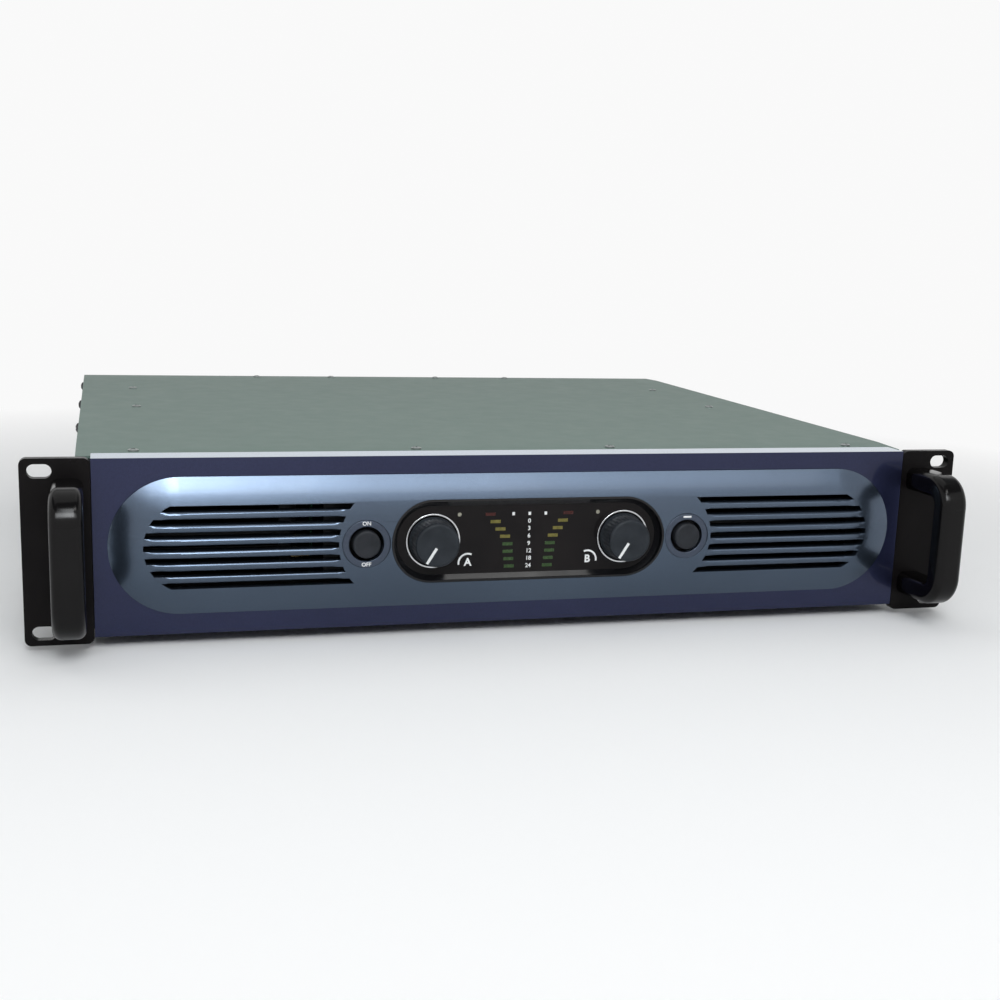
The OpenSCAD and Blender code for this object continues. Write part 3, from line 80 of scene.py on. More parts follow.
class Finish:
    """A material whose colour, roughness and relief come from patterns on Object coordinates."""

    def __init__(self, name, metallic=0.0):
        self.mat = bpy.data.materials.new(name)
        self.mat.use_nodes = True
        self.nodes = self.mat.node_tree.nodes
        self.links = self.mat.node_tree.links
        self.shader = self.nodes["Principled BSDF"]
        self.shader.inputs["Metallic"].default_value = metallic
        self.coords = self.add("ShaderNodeTexCoord").outputs["Object"]
        self.relief = None

    def add(self, kind, **settings):
        node = self.nodes.new(kind)
        for key, value in settings.items():
            setattr(node, key, value)
        return node

    def join(self, source, target):
        self.links.new(source, target)

    def set(self, **values):
        for key, value in values.items():
            self.shader.inputs[key.replace("_", " ")].default_value = value
        return self

    def stretched(self, scale):
        node = self.add("ShaderNodeMapping")
        node.inputs["Scale"].default_value = scale
        self.join(self.coords, node.inputs["Vector"])
        return node.outputs["Vector"]

    def noise(self, scale, detail=3.0, rough=0.55, coords=None):
        node = self.add("ShaderNodeTexNoise")
        node.inputs["Scale"].default_value = scale
        node.inputs["Detail"].default_value = detail
        node.inputs["Roughness"].default_value = rough
        self.join(coords or self.coords, node.inputs["Vector"])
        return node.outputs["Fac"]

    def cells(self, scale):
        node = self.add("ShaderNodeTexVoronoi")
        node.inputs["Scale"].default_value = scale
        self.join(self.coords, node.inputs["Vector"])
        return node

    def ramp(self, fac, stops):
        node = self.add("ShaderNodeValToRGB")
        ramp = node.color_ramp
        while len(ramp.elements) < len(stops):
            ramp.elements.new(0.5)
        for element, (place, colour) in zip(ramp.elements, stops):
            element.position = place
            element.color = (*colour, 1.0)
        self.join(fac, node.inputs["Fac"])
        return node.outputs["Color"]

    def mix(self, fac, a, b, how="MIX"):
        node = self.add("ShaderNodeMix", data_type="RGBA", blend_type=how)
        if isinstance(fac, float):
            node.inputs["Factor"].default_value = fac
        else:
            self.join(fac, node.inputs["Factor"])
        self.join(a, node.inputs["A"])
        self.join(b, node.inputs["B"])
        return node.outputs["Result"]

    def spread(self, fac, low, high, start=0.3, end=0.7):
        """Maps the range from start to end onto the range from low to high."""
        node = self.add("ShaderNodeMapRange")
        node.inputs["From Min"].default_value = start
        node.inputs["From Max"].default_value = end
        node.inputs["To Min"].default_value = low
        node.inputs["To Max"].default_value = high
        self.join(fac, node.inputs["Value"])
        return node.outputs["Result"]

    def pair(self, how, a, b):
        """One step of arithmetic on two values."""
        node = self.add("ShaderNodeMath", operation=how)
        self.join(a, node.inputs[0])
        self.join(b, node.inputs[1])
        return node.outputs["Value"]

    def colour(self, source):
        self.join(source, self.shader.inputs["Base Color"])
        return self

    def roughness(self, source):
        self.join(source, self.shader.inputs["Roughness"])
        return self

    def bump(self, height, strength, depth_mm):
        node = self.add("ShaderNodeBump")
        node.inputs["Strength"].default_value = strength
        node.inputs["Distance"].default_value = depth_mm * MM
        self.join(height, node.inputs["Height"])
        if self.relief:
            self.join(self.relief, node.inputs["Normal"])
        self.relief = node.outputs["Normal"]
        self.join(self.relief, self.shader.inputs["Normal"])
        return self


def coated(name, dark, light, rough, mottle=35.0, grain=900.0, depth=0.02, strength=0.25, **more):
    """Paint, powder coat or moulded plastic: soft mottling, patchy sheen and a fine grain."""
    f = Finish(name)
    f.colour(f.ramp(f.noise(mottle, 4.0), [(0.3, dark), (0.7, light)]))
    f.roughness(f.spread(f.noise(mottle * 2.3, 5.0), *rough))
    f.bump(f.noise(grain, 2.0), strength, depth)
    return f.set(**more).mat


def lamp_plastic(name, dark, light):
    """Tinted plastic over an unlit lamp of the meter."""
    return coated(name, dark, light, (0.2, 0.3), mottle=500.0, depth=0.005, Specular_IOR_Level=0.2)


def worked(name, dark, light, rough, stretch):
    """Bare metal with its tool marks drawn out along one way."""
    f = Finish(name, 1.0)
    marks = f.noise(1.0, 6.0, 0.7, f.stretched(stretch))
    f.colour(f.ramp(marks, [(0.25, dark), (0.75, light)]))
    f.roughness(f.spread(marks, *rough))
    return f.bump(marks, 0.2, 0.01).mat


def plated(name, dark, light, rough):
    """Plated metal, speckled alike all ways."""
    return worked(name, dark, light, rough, (220, 220, 220))


def flake_paint(name, dark, light, rough, flake, coat, **more):
    """Metallic paint: glinting flakes under a clear coat with a faint orange-peel."""
    f = Finish(name, 0.88)
    cells = f.cells(2600.0)
    tone = f.ramp(f.noise(9.0, 3.0), [(0.3, dark), (0.7, light)])
    glint = f.ramp(cells.outputs["Color"], [(0.0, (0.72,) * 3), (1.0, (1.28,) * 3)])
    f.colour(f.mix(flake, tone, glint, "MULTIPLY"))
    f.roughness(f.spread(f.noise(60.0, 4.0), *rough))
    f.bump(f.noise(260.0, 2.0), 0.04, 0.008)
    return f.set(Coat_Weight=coat, Coat_Roughness=0.06, **more).mat


def circuit_board():
    """Green lacquer over a tangle of tracks with pale pads."""
    f = Finish("board_lacquer")
    tracks = f.add("ShaderNodeTexBrick")
    tracks.inputs["Scale"].default_value = 140.0
    tracks.inputs["Color1"].default_value = (0.012, 0.11, 0.045, 1)
    tracks.inputs["Color2"].default_value = (0.02, 0.15, 0.06, 1)
    tracks.inputs["Mortar"].default_value = (0.05, 0.24, 0.1, 1)
    f.join(f.coords, tracks.inputs["Vector"])
    pads = f.cells(120.0).outputs["Distance"]
    f.colour(f.mix(f.spread(pads, 1.0, 0.0, 0.05, 0.12), tracks.outputs["Color"],
                   f.ramp(pads, [(0.0, (0.6, 0.6, 0.55)), (1.0, (0.5, 0.5, 0.45))])))
    f.roughness(f.spread(f.noise(80.0), 0.25, 0.4))
    return f.bump(tracks.outputs["Fac"], 0.2, 0.03).mat


def wound_tape():
    """Yellow tape wound around the ring transformer."""
    f = Finish("winding_tape")
    bands = f.add("ShaderNodeTexWave", wave_type="RINGS", rings_direction="Z")
    bands.inputs["Scale"].default_value = 30.0
    bands.inputs["Distortion"].default_value = 3.0
    f.join(f.coords, bands.inputs["Vector"])
    f.colour(f.ramp(bands.outputs["Fac"], [(0.0, (0.4, 0.27, 0.04)), (1.0, (0.6, 0.44, 0.08))]))
    f.roughness(f.spread(f.noise(50.0), 0.3, 0.45))
    return f.bump(bands.outputs["Fac"], 0.3, 0.1).mat


def smoked_panel():
    """Smoked window: brown-black with faint clouding and very fine wipe marks under its gloss."""
    f = Finish("smoked_panel")
    f.colour(f.ramp(f.noise(25.0, 3.0), [(0.25, (0.006, 0.0055, 0.006)), (0.75, (0.012, 0.010, 0.010))]))
    wipe = f.noise(1.0, 5.0, 0.6, f.stretched((60, 60, 900)))
    f.roughness(f.spread(wipe, 0.06, 0.14))
    f.bump(wipe, 0.02, 0.01)
    return f.set(Specular_IOR_Level=0.1).mat


# Front finishes
fascia_paint = flake_paint("fascia_paint", (0.018, 0.022, 0.060), (0.024, 0.029, 0.074),
                           (0.30, 0.38), 0.5, 0.35)
# A lighter, coated copy of the fascia's paint for its top faces: a painted highlight
fascia_edge = flake_paint("fascia_edge", (0.11, 0.145, 0.235), (0.128, 0.168, 0.27),
                          (0.16, 0.20), 0.2, 1.0, Specular_Tint=(0.74, 0.9, 1.0, 1.0))
bezel_paint = flake_paint("bezel_paint", (0.064, 0.087, 0.124), (0.076, 0.103, 0.146),
                          (0.22, 0.25), 0.22, 0.2)
ring_paint = flake_paint("ring_paint", (0.058, 0.072, 0.102), (0.07, 0.086, 0.12),
                         (0.28, 0.36), 0.5, 0.1)
ear_coat = coated("ear_coat", (0.003, 0.0024, 0.0026), (0.006, 0.005, 0.0052), (0.26, 0.38),
                  grain=1400.0, depth=0.03, Specular_IOR_Level=0.09)
handle_coat = coated("handle_coat", (0.0014, 0.0011, 0.0012), (0.0026, 0.0021, 0.0022), (0.14, 0.2),
                     grain=1100.0, depth=0.008, Specular_IOR_Level=0.2)
frame_gloss = coated("frame_gloss", (0.004, 0.004, 0.005), (0.008, 0.008, 0.009), (0.14, 0.22),
                     depth=0.006, Specular_IOR_Level=0.3)
smoked = smoked_panel()
knob_plastic = coated("knob_plastic", (0.014, 0.017, 0.021), (0.024, 0.028, 0.034), (0.34, 0.48),
                      mottle=120.0, Specular_IOR_Level=0.16)
button_plastic = coated("button_plastic", (0.014, 0.016, 0.019), (0.023, 0.025, 0.030), (0.36, 0.5),
                        mottle=150.0, Specular_IOR_Level=0.16)
print_white = coated("print_white", (0.62, 0.63, 0.63), (0.78, 0.79, 0.79), (0.45, 0.6),
                     mottle=300.0, depth=0.004)
lamp_red = lamp_plastic("lamp_red", (0.034, 0.010, 0.009), (0.060, 0.015, 0.012))
lamp_yellow = lamp_plastic("lamp_yellow", (0.10, 0.088, 0.022), (0.17, 0.15, 0.04))
lamp_green = lamp_plastic("lamp_green", (0.022, 0.048, 0.016), (0.042, 0.080, 0.028))
lamp_clear = coated("lamp_clear", (0.20, 0.195, 0.15), (0.32, 0.31, 0.25), (0.14, 0.22),
                    mottle=500.0, depth=0.005)

# Metals
bright_metal = worked("bright_metal", (0.52, 0.53, 0.55), (0.66, 0.67, 0.68), (0.16, 0.26), (300, 40, 300))
shaft_metal = worked("shaft_metal", (0.5, 0.5, 0.5), (0.66, 0.66, 0.66), (0.25, 0.4), (500, 60, 500))
wire_metal = worked("wire_metal", (0.55, 0.56, 0.57), (0.75, 0.76, 0.77), (0.15, 0.28), (120, 400, 120))
fin_metal = worked("fin_metal", (0.022, 0.022, 0.024), (0.045, 0.045, 0.048), (0.34, 0.5), (600, 30, 600))
brass = worked("brass", (0.62, 0.45, 0.16), (0.78, 0.6, 0.26), (0.2, 0.35), (300, 80, 300))
zinc_plate = plated("zinc_plate", (0.5, 0.5, 0.49), (0.68, 0.68, 0.66), (0.25, 0.42))
dull_zinc = plated("dull_zinc", (0.26, 0.28, 0.28), (0.40, 0.43, 0.42), (0.26, 0.4))
black_zinc = plated("black_zinc", (0.03, 0.03, 0.032), (0.06, 0.06, 0.064), (0.3, 0.45))

# Case finishes
cover_paint = coated("cover_paint", (0.131, 0.188, 0.164), (0.137, 0.196, 0.171), (0.45, 0.5),
                     mottle=40.0, grain=700.0, depth=0.03, strength=0.2, Specular_IOR_Level=0.12)
case_paint = coated("case_paint", (0.012, 0.013, 0.013), (0.016, 0.018, 0.018), (0.44, 0.5),
                    mottle=90.0, grain=800.0, depth=0.03)
foot_rubber = coated("foot_rubber", (0.014, 0.014, 0.014), (0.028, 0.027, 0.026), (0.65, 0.85),
                     grain=500.0, depth=0.08)
fan_plastic = coated("fan_plastic", (0.012, 0.012, 0.013), (0.024, 0.024, 0.025), (0.4, 0.55))
socket_plastic = coated("socket_plastic", (0.010, 0.010, 0.011), (0.02, 0.02, 0.021), (0.3, 0.45),
                        depth=0.015)
white_nylon = coated("white_nylon", (0.62, 0.61, 0.57), (0.74, 0.73, 0.69), (0.4, 0.55), mottle=200.0)

# Finishes inside
grey_plastic = coated("grey_plastic", (0.12, 0.12, 0.125), (0.18, 0.18, 0.185), (0.4, 0.55), mottle=90.0)
device_plastic = coated("device_plastic", (0.012, 0.012, 0.012), (0.026, 0.026, 0.026), (0.5, 0.65),
                        grain=600.0, depth=0.04)
sleeve_blue = coated("sleeve_blue", (0.015, 0.03, 0.13), (0.025, 0.045, 0.18), (0.2, 0.32))
cable_jacket = coated("cable_jacket", (0.014, 0.014, 0.014), (0.026, 0.026, 0.026), (0.45, 0.6),
                      depth=0.03)
ribbon_grey = coated("ribbon_grey", (0.28, 0.28, 0.3), (0.38, 0.38, 0.4), (0.4, 0.55))
board_green = circuit_board()
winding_tape = wound_tape()

# Pieces

# Edges that turn more than this are softened
BEVEL_TURN = math.radians(28)
# Solids are welded at this distance, in metres, and faces that turn less than this are one face
WELD = 2e-6
FLAT_TURN = math.radians(0.4)
# Degrees above which shading stays crisp, on pieces and on repeated pieces
CRISP_TURN = 34
REPEAT_TURN = 40


def keep(obj, body, nodes=(), slot=None):
    """Fixes a finished piece to its body and hides the solids it stands for."""
    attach(obj, body)
    if nodes:
        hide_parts(*nodes)
        slot = slot or SLOT_OF[nodes[0]]
    return obj


def link(name, mesh, *mats):
    """A new object in the scene from a mesh and its finishes."""
    for mat in mats:
        mesh.materials.append(mat)
    obj = bpy.data.objects.new(name, mesh)
    bpy.context.scene.collection.objects.link(obj)
    return obj


def shade(mesh, turn=CRISP_TURN):
    """Smooth shading that stays crisp where faces turn by more than some degrees."""
    mesh.shade_smooth()
    mesh.set_sharp_from_angle(angle=math.radians(turn))


def made(obj):
    """Turns an object with modifiers into a plain mesh object in the same place."""
    graph = bpy.context.evaluated_depsgraph_get()
    mesh = bpy.data.meshes.new_from_object(obj.evaluated_get(graph), depsgraph=graph)
    old = obj.data
    obj.modifiers.clear()
    obj.data = mesh
    if old.users == 0 and isinstance(old, bpy.types.Mesh):
        bpy.data.meshes.remove(old)
    return obj


def solid_copy(node):
    """A welded copy of a solid with its flat faces made whole again."""
    bm = bmesh.new()
    bm.from_mesh(frame["nodes"][node].data)
    bmesh.ops.remove_doubles(bm, verts=bm.verts[:], dist=WELD)
    bmesh.ops.dissolve_limit(bm, angle_limit=FLAT_TURN, verts=bm.verts[:], edges=bm.edges[:],
                             delimit={"NORMAL"})
    return bm


def dressed(node, mat, edge, steps=2, turn=CRISP_TURN, shape=None):
    """A copy of a solid with softened edges that takes its place.

    shape, where given, works on the mesh first, and its short edges don't hold the softening back."""
    bm = solid_copy(node)
    if shape:
        shape(bm)
    mesh = bpy.data.meshes.new(node + "_dressed")
    bm.to_mesh(mesh)
    bm.free()
    obj = link(node + "_dressed", mesh, mat)
    if edge:
        bevel = obj.modifiers.new("edge", "BEVEL")
        bevel.width = edge * MM
        bevel.segments = steps
        bevel.limit_method = "ANGLE"
        bevel.angle_limit = BEVEL_TURN
        bevel.miter_outer = "MITER_ARC"
        bevel.use_clamp_overlap = shape is None
        made(obj)
    shade(obj.data, turn)
    if edge:
        weigh = obj.modifiers.new("weigh", "WEIGHTED_NORMAL")
        weigh.keep_sharp = True
        made(obj)
    return keep(obj, BODY_OF[node], (node,))


def turned(name, profile, centre, mat, turns, wave=None):
    """A piece turned about an axis along Y, from (radius, depth) points; wave shapes its grip."""
    bm = bmesh.new()
    rings = []
    for r, y in profile:
        if r == 0:
            rings.append([bm.verts.new(centre + Vector((0, y, 0)) * MM)])
            continue
        ring = []
        for i in range(turns):
            a = 2 * math.pi * i / turns
            out = r + (wave(y, a) if wave else 0)
            ring.append(bm.verts.new(centre + Vector((out * math.cos(a), y, out * math.sin(a))) * MM))
        rings.append(ring)
    for one, two in zip(rings, rings[1:]):
        for i in range(turns):
            j = (i + 1) % turns
            corners = [one[i % len(one)], one[j % len(one)], two[j % len(two)], two[i % len(two)]]
            bm.faces.new(list(dict.fromkeys(corners)))
    bmesh.ops.recalc_face_normals(bm, faces=bm.faces[:])
    mesh = bpy.data.meshes.new(name)
    bm.to_mesh(mesh)
    bm.free()
    shade(mesh)
    return link(name, mesh, mat)


# Repeated pieces, placed by node trees

class Tree:
    """A small geometry tree with named sizes."""

    def __init__(self, name, sizes):
        self.tree = bpy.data.node_groups.new(name, "GeometryNodeTree")
        face = self.tree.interface
        face.new_socket("Places", in_out="INPUT", socket_type="NodeSocketGeometry")
        for size in sizes:
            face.new_socket(size, in_out="INPUT", socket_type="NodeSocketFloat")
        face.new_socket("Finish", in_out="INPUT", socket_type="NodeSocketMaterial")
        face.new_socket("Result", in_out="OUTPUT", socket_type="NodeSocketGeometry")
        self.inputs = self.add("NodeGroupInput").outputs
        self.result = self.add("NodeGroupOutput").inputs["Result"]

    def add(self, kind, **settings):
        node = self.tree.nodes.new(kind)
        for key, value in settings.items():
            setattr(node, key, value)
        return node

    def join(self, source, target):
        self.tree.links.new(source, target)

    def fed(self, node, values):
        """Gives a node its values, each a number or another node's output."""
        for socket, value in zip(node.inputs, values):
            if isinstance(value, (int, float)):
                socket.default_value = value
            else:
                self.join(value, socket)
        return node.outputs[0]

    def math(self, how, a, b):
        return self.fed(self.add("ShaderNodeMath", operation=how), (a, b))

    def vector(self, x, y, z):
        return self.fed(self.add("ShaderNodeCombineXYZ"), (x, y, z))

    def moved(self, mesh, place, turn=(0, 0, 0)):
        node = self.add("GeometryNodeTransform")
        self.join(mesh, node.inputs["Geometry"])
        self.join(place, node.inputs["Translation"])
        node.inputs["Rotation"].default_value = turn
        return node.outputs["Geometry"]

    def block(self, x, y, z):
        node = self.add("GeometryNodeMeshCube")
        self.join(self.vector(x, y, z), node.inputs["Size"])
        return node.outputs["Mesh"]

    def cut(self, how, first, *others):
        """Takes the other meshes away from the first, or keeps what all of them share."""
        node = self.add("GeometryNodeMeshBoolean", operation=how)
        node.solver = "EXACT"
        self.join(first, node.inputs["Mesh 1" if how == "DIFFERENCE" else "Mesh 2"])
        for other in others:
            self.join(other, node.inputs["Mesh 2"])
        return node.outputs["Mesh"]

    def spread(self, shape):
        """Puts the shape at every place, turned as the place says, as one real mesh."""
        turn = self.add("GeometryNodeInputNamedAttribute", data_type="FLOAT_VECTOR")
        turn.inputs["Name"].default_value = "turn"
        euler = self.add("FunctionNodeEulerToRotation")
        self.join(turn.outputs["Attribute"], euler.inputs[0])
        put = self.add("GeometryNodeInstanceOnPoints")
        self.join(self.inputs["Places"], put.inputs["Points"])
        self.join(shape, put.inputs["Instance"])
        self.join(euler.outputs[0], put.inputs["Rotation"])
        real = self.add("GeometryNodeRealizeInstances")
        self.join(put.outputs["Instances"], real.inputs["Geometry"])
        paint = self.add("GeometryNodeSetMaterial")
        self.join(real.outputs["Geometry"], paint.inputs["Geometry"])
        self.join(self.inputs["Finish"], paint.inputs["Material"])
        self.join(paint.outputs["Geometry"], self.result)
        return self.tree


HEAD_SIDES = 28
DOME_RINGS = 40


def screw_tree():
    """A domed head with a cross cut into it, standing on its place."""
    t = Tree("screw_heads", ("Radius", "Height", "Dome", "Cross length", "Cross width", "Cross depth"))
    i = t.inputs
    blank = t.add("GeometryNodeMeshCylinder")
    blank.inputs["Vertices"].default_value = HEAD_SIDES
    t.join(i["Radius"], blank.inputs["Radius"])
    t.join(t.math("MULTIPLY", i["Height"], 2.0), blank.inputs["Depth"])
    ball = t.add("GeometryNodeMeshUVSphere")
    ball.inputs["Segments"].default_value = HEAD_SIDES
    ball.inputs["Rings"].default_value = DOME_RINGS
    t.join(i["Dome"], ball.inputs["Radius"])
    dome = t.moved(ball.outputs["Mesh"], t.vector(0, 0, t.math("SUBTRACT", i["Height"], i["Dome"])))
    head = t.cut("INTERSECT", blank.outputs["Mesh"], dome)
    deep = t.math("MULTIPLY", i["Cross depth"], 2.0)
    top = t.vector(0, 0, i["Height"])
    bar = t.block(i["Cross length"], i["Cross width"], deep)
    head = t.cut("DIFFERENCE", head, t.moved(bar, top), t.moved(bar, top, (0, 0, math.pi / 2)))
    return t.spread(head)


def bar_tree():
    """A thin raised bar on its place."""
    t = Tree("meter_bars", ("Width", "Depth", "Height"))
    i = t.inputs
    return t.spread(t.block(i["Width"], i["Depth"], i["Height"]))


SCREW_HEADS = screw_tree()
METER_BARS = bar_tree()


def repeated(name, tree, places, mat, **sizes):
    """One mesh from a tree: places are (place, turn) pairs, sizes are in millimetres."""
    mesh = bpy.data.meshes.new(name)
    mesh.from_pydata([p for p, _ in places], [], [])
    turns = mesh.attributes.new("turn", "FLOAT_VECTOR", "POINT")
    for slot, (_, turn) in zip(turns.data, places):
        slot.vector = turn
    obj = link(name, mesh)
    mod = obj.modifiers.new("places", "NODES")
    mod.node_group = tree
    for item in tree.interface.items_tree:
        size = item.name.replace(" ", "_").lower()
        if item.in_out == "INPUT" and size in sizes:
            mod[item.identifier] = sizes[size] * MM
        elif item.in_out == "INPUT" and item.name == "Finish":
            mod[item.identifier] = mat
    made(obj)
    if "turn" in obj.data.attributes:
        obj.data.attributes.remove(obj.data.attributes["turn"])
    shade(obj.data, REPEAT_TURN)
    return obj


# Turns that point a screw's head up, back, to either side or down, after its own spin
HEAD_TURN = {
    "up": Matrix.Identity(3),
    "back": Matrix.Rotation(-math.pi / 2, 3, "X"),
    "left": Matrix.Rotation(-math.pi / 2, 3, "Y"),
    "right": Matrix.Rotation(math.pi / 2, 3, "Y"),
    "down": Matrix.Rotation(math.pi, 3, "X"),
}
# Radius and height of each kind of head
LOW_M3 = (2.6, 1.2)
M3 = (2.8, 2.1)
M4 = (3.8, 2.6)
# Dome's rise and cross's depth as shares of a head's height, then the cross's arms as shares of its radius
DOME_RISE = 0.55
CROSS_DEPTH = 0.55
CROSS_LENGTH = 1.25
CROSS_WIDTH = 0.3
# Degrees from one screw's cross to the next, and after how many a cross looks the same
NEXT_CROSS = 37
SAME_CROSS = 90


def screws(node, name, size, spots, mat):
    """Screw heads for a node of screws; spots are (way, place) pairs and each is left at its own angle."""
    r, h = size
    places = []
    for count, (way, place) in enumerate(spots):
        spin = Matrix.Rotation(math.radians(NEXT_CROSS * count % SAME_CROSS), 3, "Z")
        places.append((place, (HEAD_TURN[way] @ spin).to_euler()))
    rise = DOME_RISE * h
    dome = (r * r + rise ** 2) / (2 * rise)
    obj = repeated(name, SCREW_HEADS, places, mat, radius=r, height=h, dome=dome,
                   cross_length=CROSS_LENGTH * r, cross_width=CROSS_WIDTH * r, cross_depth=CROSS_DEPTH * h)
    return keep(obj, "chassis", (node,) if node else (), None if node else "screw_steel")


# Front

LOUVRES = 7
LOUVRE_PITCH = 6.15
LOUVRE_GAP = 2.8
# Middle and radius of the arcs in which the louvres end, near the buttons and near the ears
INNER_END = (67.4, 29.2)
OUTER_INSET = 37.9
OUTER_END = (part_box("grille_bezel")[1].x / MM - OUTER_INSET, 22.0)
# Slats between the louvres: half their height, and their middles from the middle of the controls
SLAT_HALF = (LOUVRE_PITCH - LOUVRE_GAP) / 2
SLATS = [(k - LOUVRES / 2 + 1) * LOUVRE_PITCH for k in range(LOUVRES - 1)]
# Radius of a slat's bow and its turn at the edges, the length in which it fades out, and the cuts for each
SLAT_BOW = 1.0
BOW_TURN = math.radians(80)
BOW_CUTS = 4
SLAT_FADE = 4.0
FADE_CUTS = 4
# How far a slat's points reach from its middle, as a share of its half height, with a little slack
SLAT_REACH = 1.01
# Slack past the louvres' outer ends
END_SLACK = 0.5
# Normals along Y: front faces lie below the first, and the walls of louvres stay within the second
FRONT_Y = -0.5
WALL_Y = 0.1
# Points this near a cut, in metres, are taken as on it
CUT_SNAP = 1e-6


def slat_ends(mid):
    """Where both louvres beside a slat are open, outwards from the middle of the amplifier."""
    near = abs(mid) - SLAT_HALF
    far = abs(mid) + SLAT_HALF
    start = INNER_END[0] + math.sqrt(INNER_END[1] ** 2 - near ** 2)
    end = OUTER_END[0] + math.sqrt(OUTER_END[1] ** 2 - far ** 2)
    return start, end


def eased(share):
    """A share between 0 and 1 that starts and stops gently."""
    share = min(max(share, 0.0), 1.0)
    return share * share * (3 - 2 * share)


def slat_fall(x, z):
    """How far the face of a slat lies back at a place on the bezel, in millimetres."""
    for mid in SLATS:
        height = (z - mid) / SLAT_HALF
        if abs(height) < SLAT_REACH:
            start, end = slat_ends(mid)
            fade = eased((x - start) / SLAT_FADE) * eased((end - x) / SLAT_FADE)
            turn = math.asin(min(max(height, -1.0), 1.0) * math.sin(BOW_TURN))
            return SLAT_BOW * (1 - math.cos(turn)) * fade
    return 0.0


def around_louvres(vert):
    """Whether a point lies on the rim of a louvre."""
    wall = any(abs(face.normal.y) < WALL_Y for face in vert.link_faces)
    inside = abs(vert.co.z / MM - CONTROL_Z) < LOUVRES / 2 * LOUVRE_PITCH
    return wall and inside and BUTTON_X < abs(vert.co.x) / MM < sum(OUTER_END) + END_SLACK


def marked(bm):
    """The faces that are marked with the second finish for a while."""
    return [face for face in bm.faces if face.material_index == 1]


def cut_faces(bm, faces, place, way):
    """Cuts some faces along a plane."""
    edges = dict.fromkeys(edge for face in faces for edge in face.edges)
    verts = dict.fromkeys(vert for face in faces for vert in face.verts)
    bmesh.ops.bisect_plane(bm, geom=[*verts, *edges, *faces], dist=CUT_SNAP, plane_co=place, plane_no=way)


def bow_slats(bm):
    """Bows the face of each slat between two louvres, so that it catches the light along its top."""
    bm.normal_update()
    for face in bm.faces:
        if face.normal.y < FRONT_Y and any(around_louvres(vert) for vert in face.verts):
            face.material_index = 1
    for mid in SLATS:
        for cut in range(-BOW_CUTS, BOW_CUTS + 1):
            height = math.sin(BOW_TURN * cut / BOW_CUTS) / math.sin(BOW_TURN)
            cut_faces(bm, marked(bm), on_controls(0, 0, mid + SLAT_HALF * height), (0, 0, 1))
    for mid in SLATS:
        start, end = slat_ends(mid)
        for cut in range(FADE_CUTS + 1):
            run = SLAT_FADE * cut / FADE_CUTS
            for x in (start + run, end - run):
                for side in SIDES:
                    band = [face for face in marked(bm)
                            if abs(face.calc_center_median().z / MM - CONTROL_Z - mid) < SLAT_HALF]
                    cut_faces(bm, band, at(side * x, 0, 0), (1, 0, 0))
    for vert in dict.fromkeys(vert for face in marked(bm) for vert in face.verts):
        vert.co.y += slat_fall(abs(vert.co.x) / MM, vert.co.z / MM - CONTROL_Z) * MM
    for face in bm.faces:
        face.material_index = 0


# The fascia's top faces take a lighter blue paint under a full clear coat, a painted highlight where light
# falls on the top: faces in this band under its top that look upwards
HIGHLIGHT_BAND = 0.6
UPWARD = 0.6
fascia = dressed("front_panel", fascia_paint, 0.5, 3)
fascia.data.materials.append(fascia_edge)
fascia_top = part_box("front_panel")[1].z
for face in fascia.data.polygons:
    if face.normal.z > UPWARD and face.center.z > fascia_top - HIGHLIGHT_BAND * MM:
        face.material_index = 1
dressed("grille_bezel", bezel_paint, 0.1, 2, shape=bow_slats)
dressed("button_rings", ring_paint, 0.35, 2)
dressed("window_frame", frame_gloss, 0.35, 3)
dressed("display_window", smoked, 0.2, 2)
dressed("knob_rings", bright_metal, 0.3, 3)
for side in ("left", "right"):
    dressed(side + "_ear", ear_coat, 0.6, 3)
    dressed(side + "_handle", handle_coat, 0.0, turn=50)

KNOB_PROFILE = [
    (0, -3.0), (11.5, -3.0), (12, -3.4), (12, -4.3), (11.75, -4.8), (11.45, -5.2), (11.4, -5.7),
    (11.1, -9.0), (10.98, -13.6), (10.92, -14.2), (10.72, -14.75), (10.36, -15.2), (9.9, -15.43),
    (9.4, -15.5), (8.7, -15.45), (8.0, -15.36), (5.0, -15.28), (2.0, -15.25), (0, -15.25),
]
FLUTES = 36
FLUTE_STEPS = 7
FLUTE_DEPTH = 0.16
FLUTE_ENDS = (-14.0, -5.5)


def grip(y, a):
    """Shallow flutes around the side of a knob."""
    if not FLUTE_ENDS[0] <= y <= FLUTE_ENDS[1]:
        return 0.0
    return -FLUTE_DEPTH * (0.5 + 0.5 * math.cos(FLUTES * a))


for tag, side in (("a", -1), ("b", 1)):
    knob = turned("knob_" + tag, KNOB_PROFILE, on_controls(side * KNOB_X, 0, 0), knob_plastic,
                  FLUTES * FLUTE_STEPS, grip)
    keep(knob, "knob_" + tag, ("level_knob_" + tag,))

BUTTON_PROFILE = [
    (0, 25.5), (2.5, 25.5), (2.5, -2.2), (6.6, -2.2), (6.8, -2.4), (6.8, -8.3), (6.68, -8.75),
    (6.36, -9.05), (5.9, -9.18), (5.4, -9.2), (4.6, -9.14), (3.6, -9.05), (2.0, -8.97), (0, -8.95),
]
BUTTON_SIDES = 72
for node, side in (("power_button", -1), ("limiter_button", 1)):
    cap = turned(node + "_cap", BUTTON_PROFILE, on_controls(side * BUTTON_X, 0, 0), button_plastic,
                 BUTTON_SIDES)
    keep(cap, BODY_OF[node], (node,))

# Meter marks on the window

# Heights of the rows of lamps from the top down, and how far out the two lamps of each row stand
LAMP_ROWS = [12.6, 8.8, 5.0, 1.2, -2.7, -6.5, -10.3, -14.1]
LAMP_OUT = [20.3, 17.6, 15.0, 12.5, 11.1, 10.9, 10.4, 10.0]
LAMP_BAR = {"width": 5.2, "depth": 0.1, "height": 1.6}
FLAT = Euler((0, 0, 0))
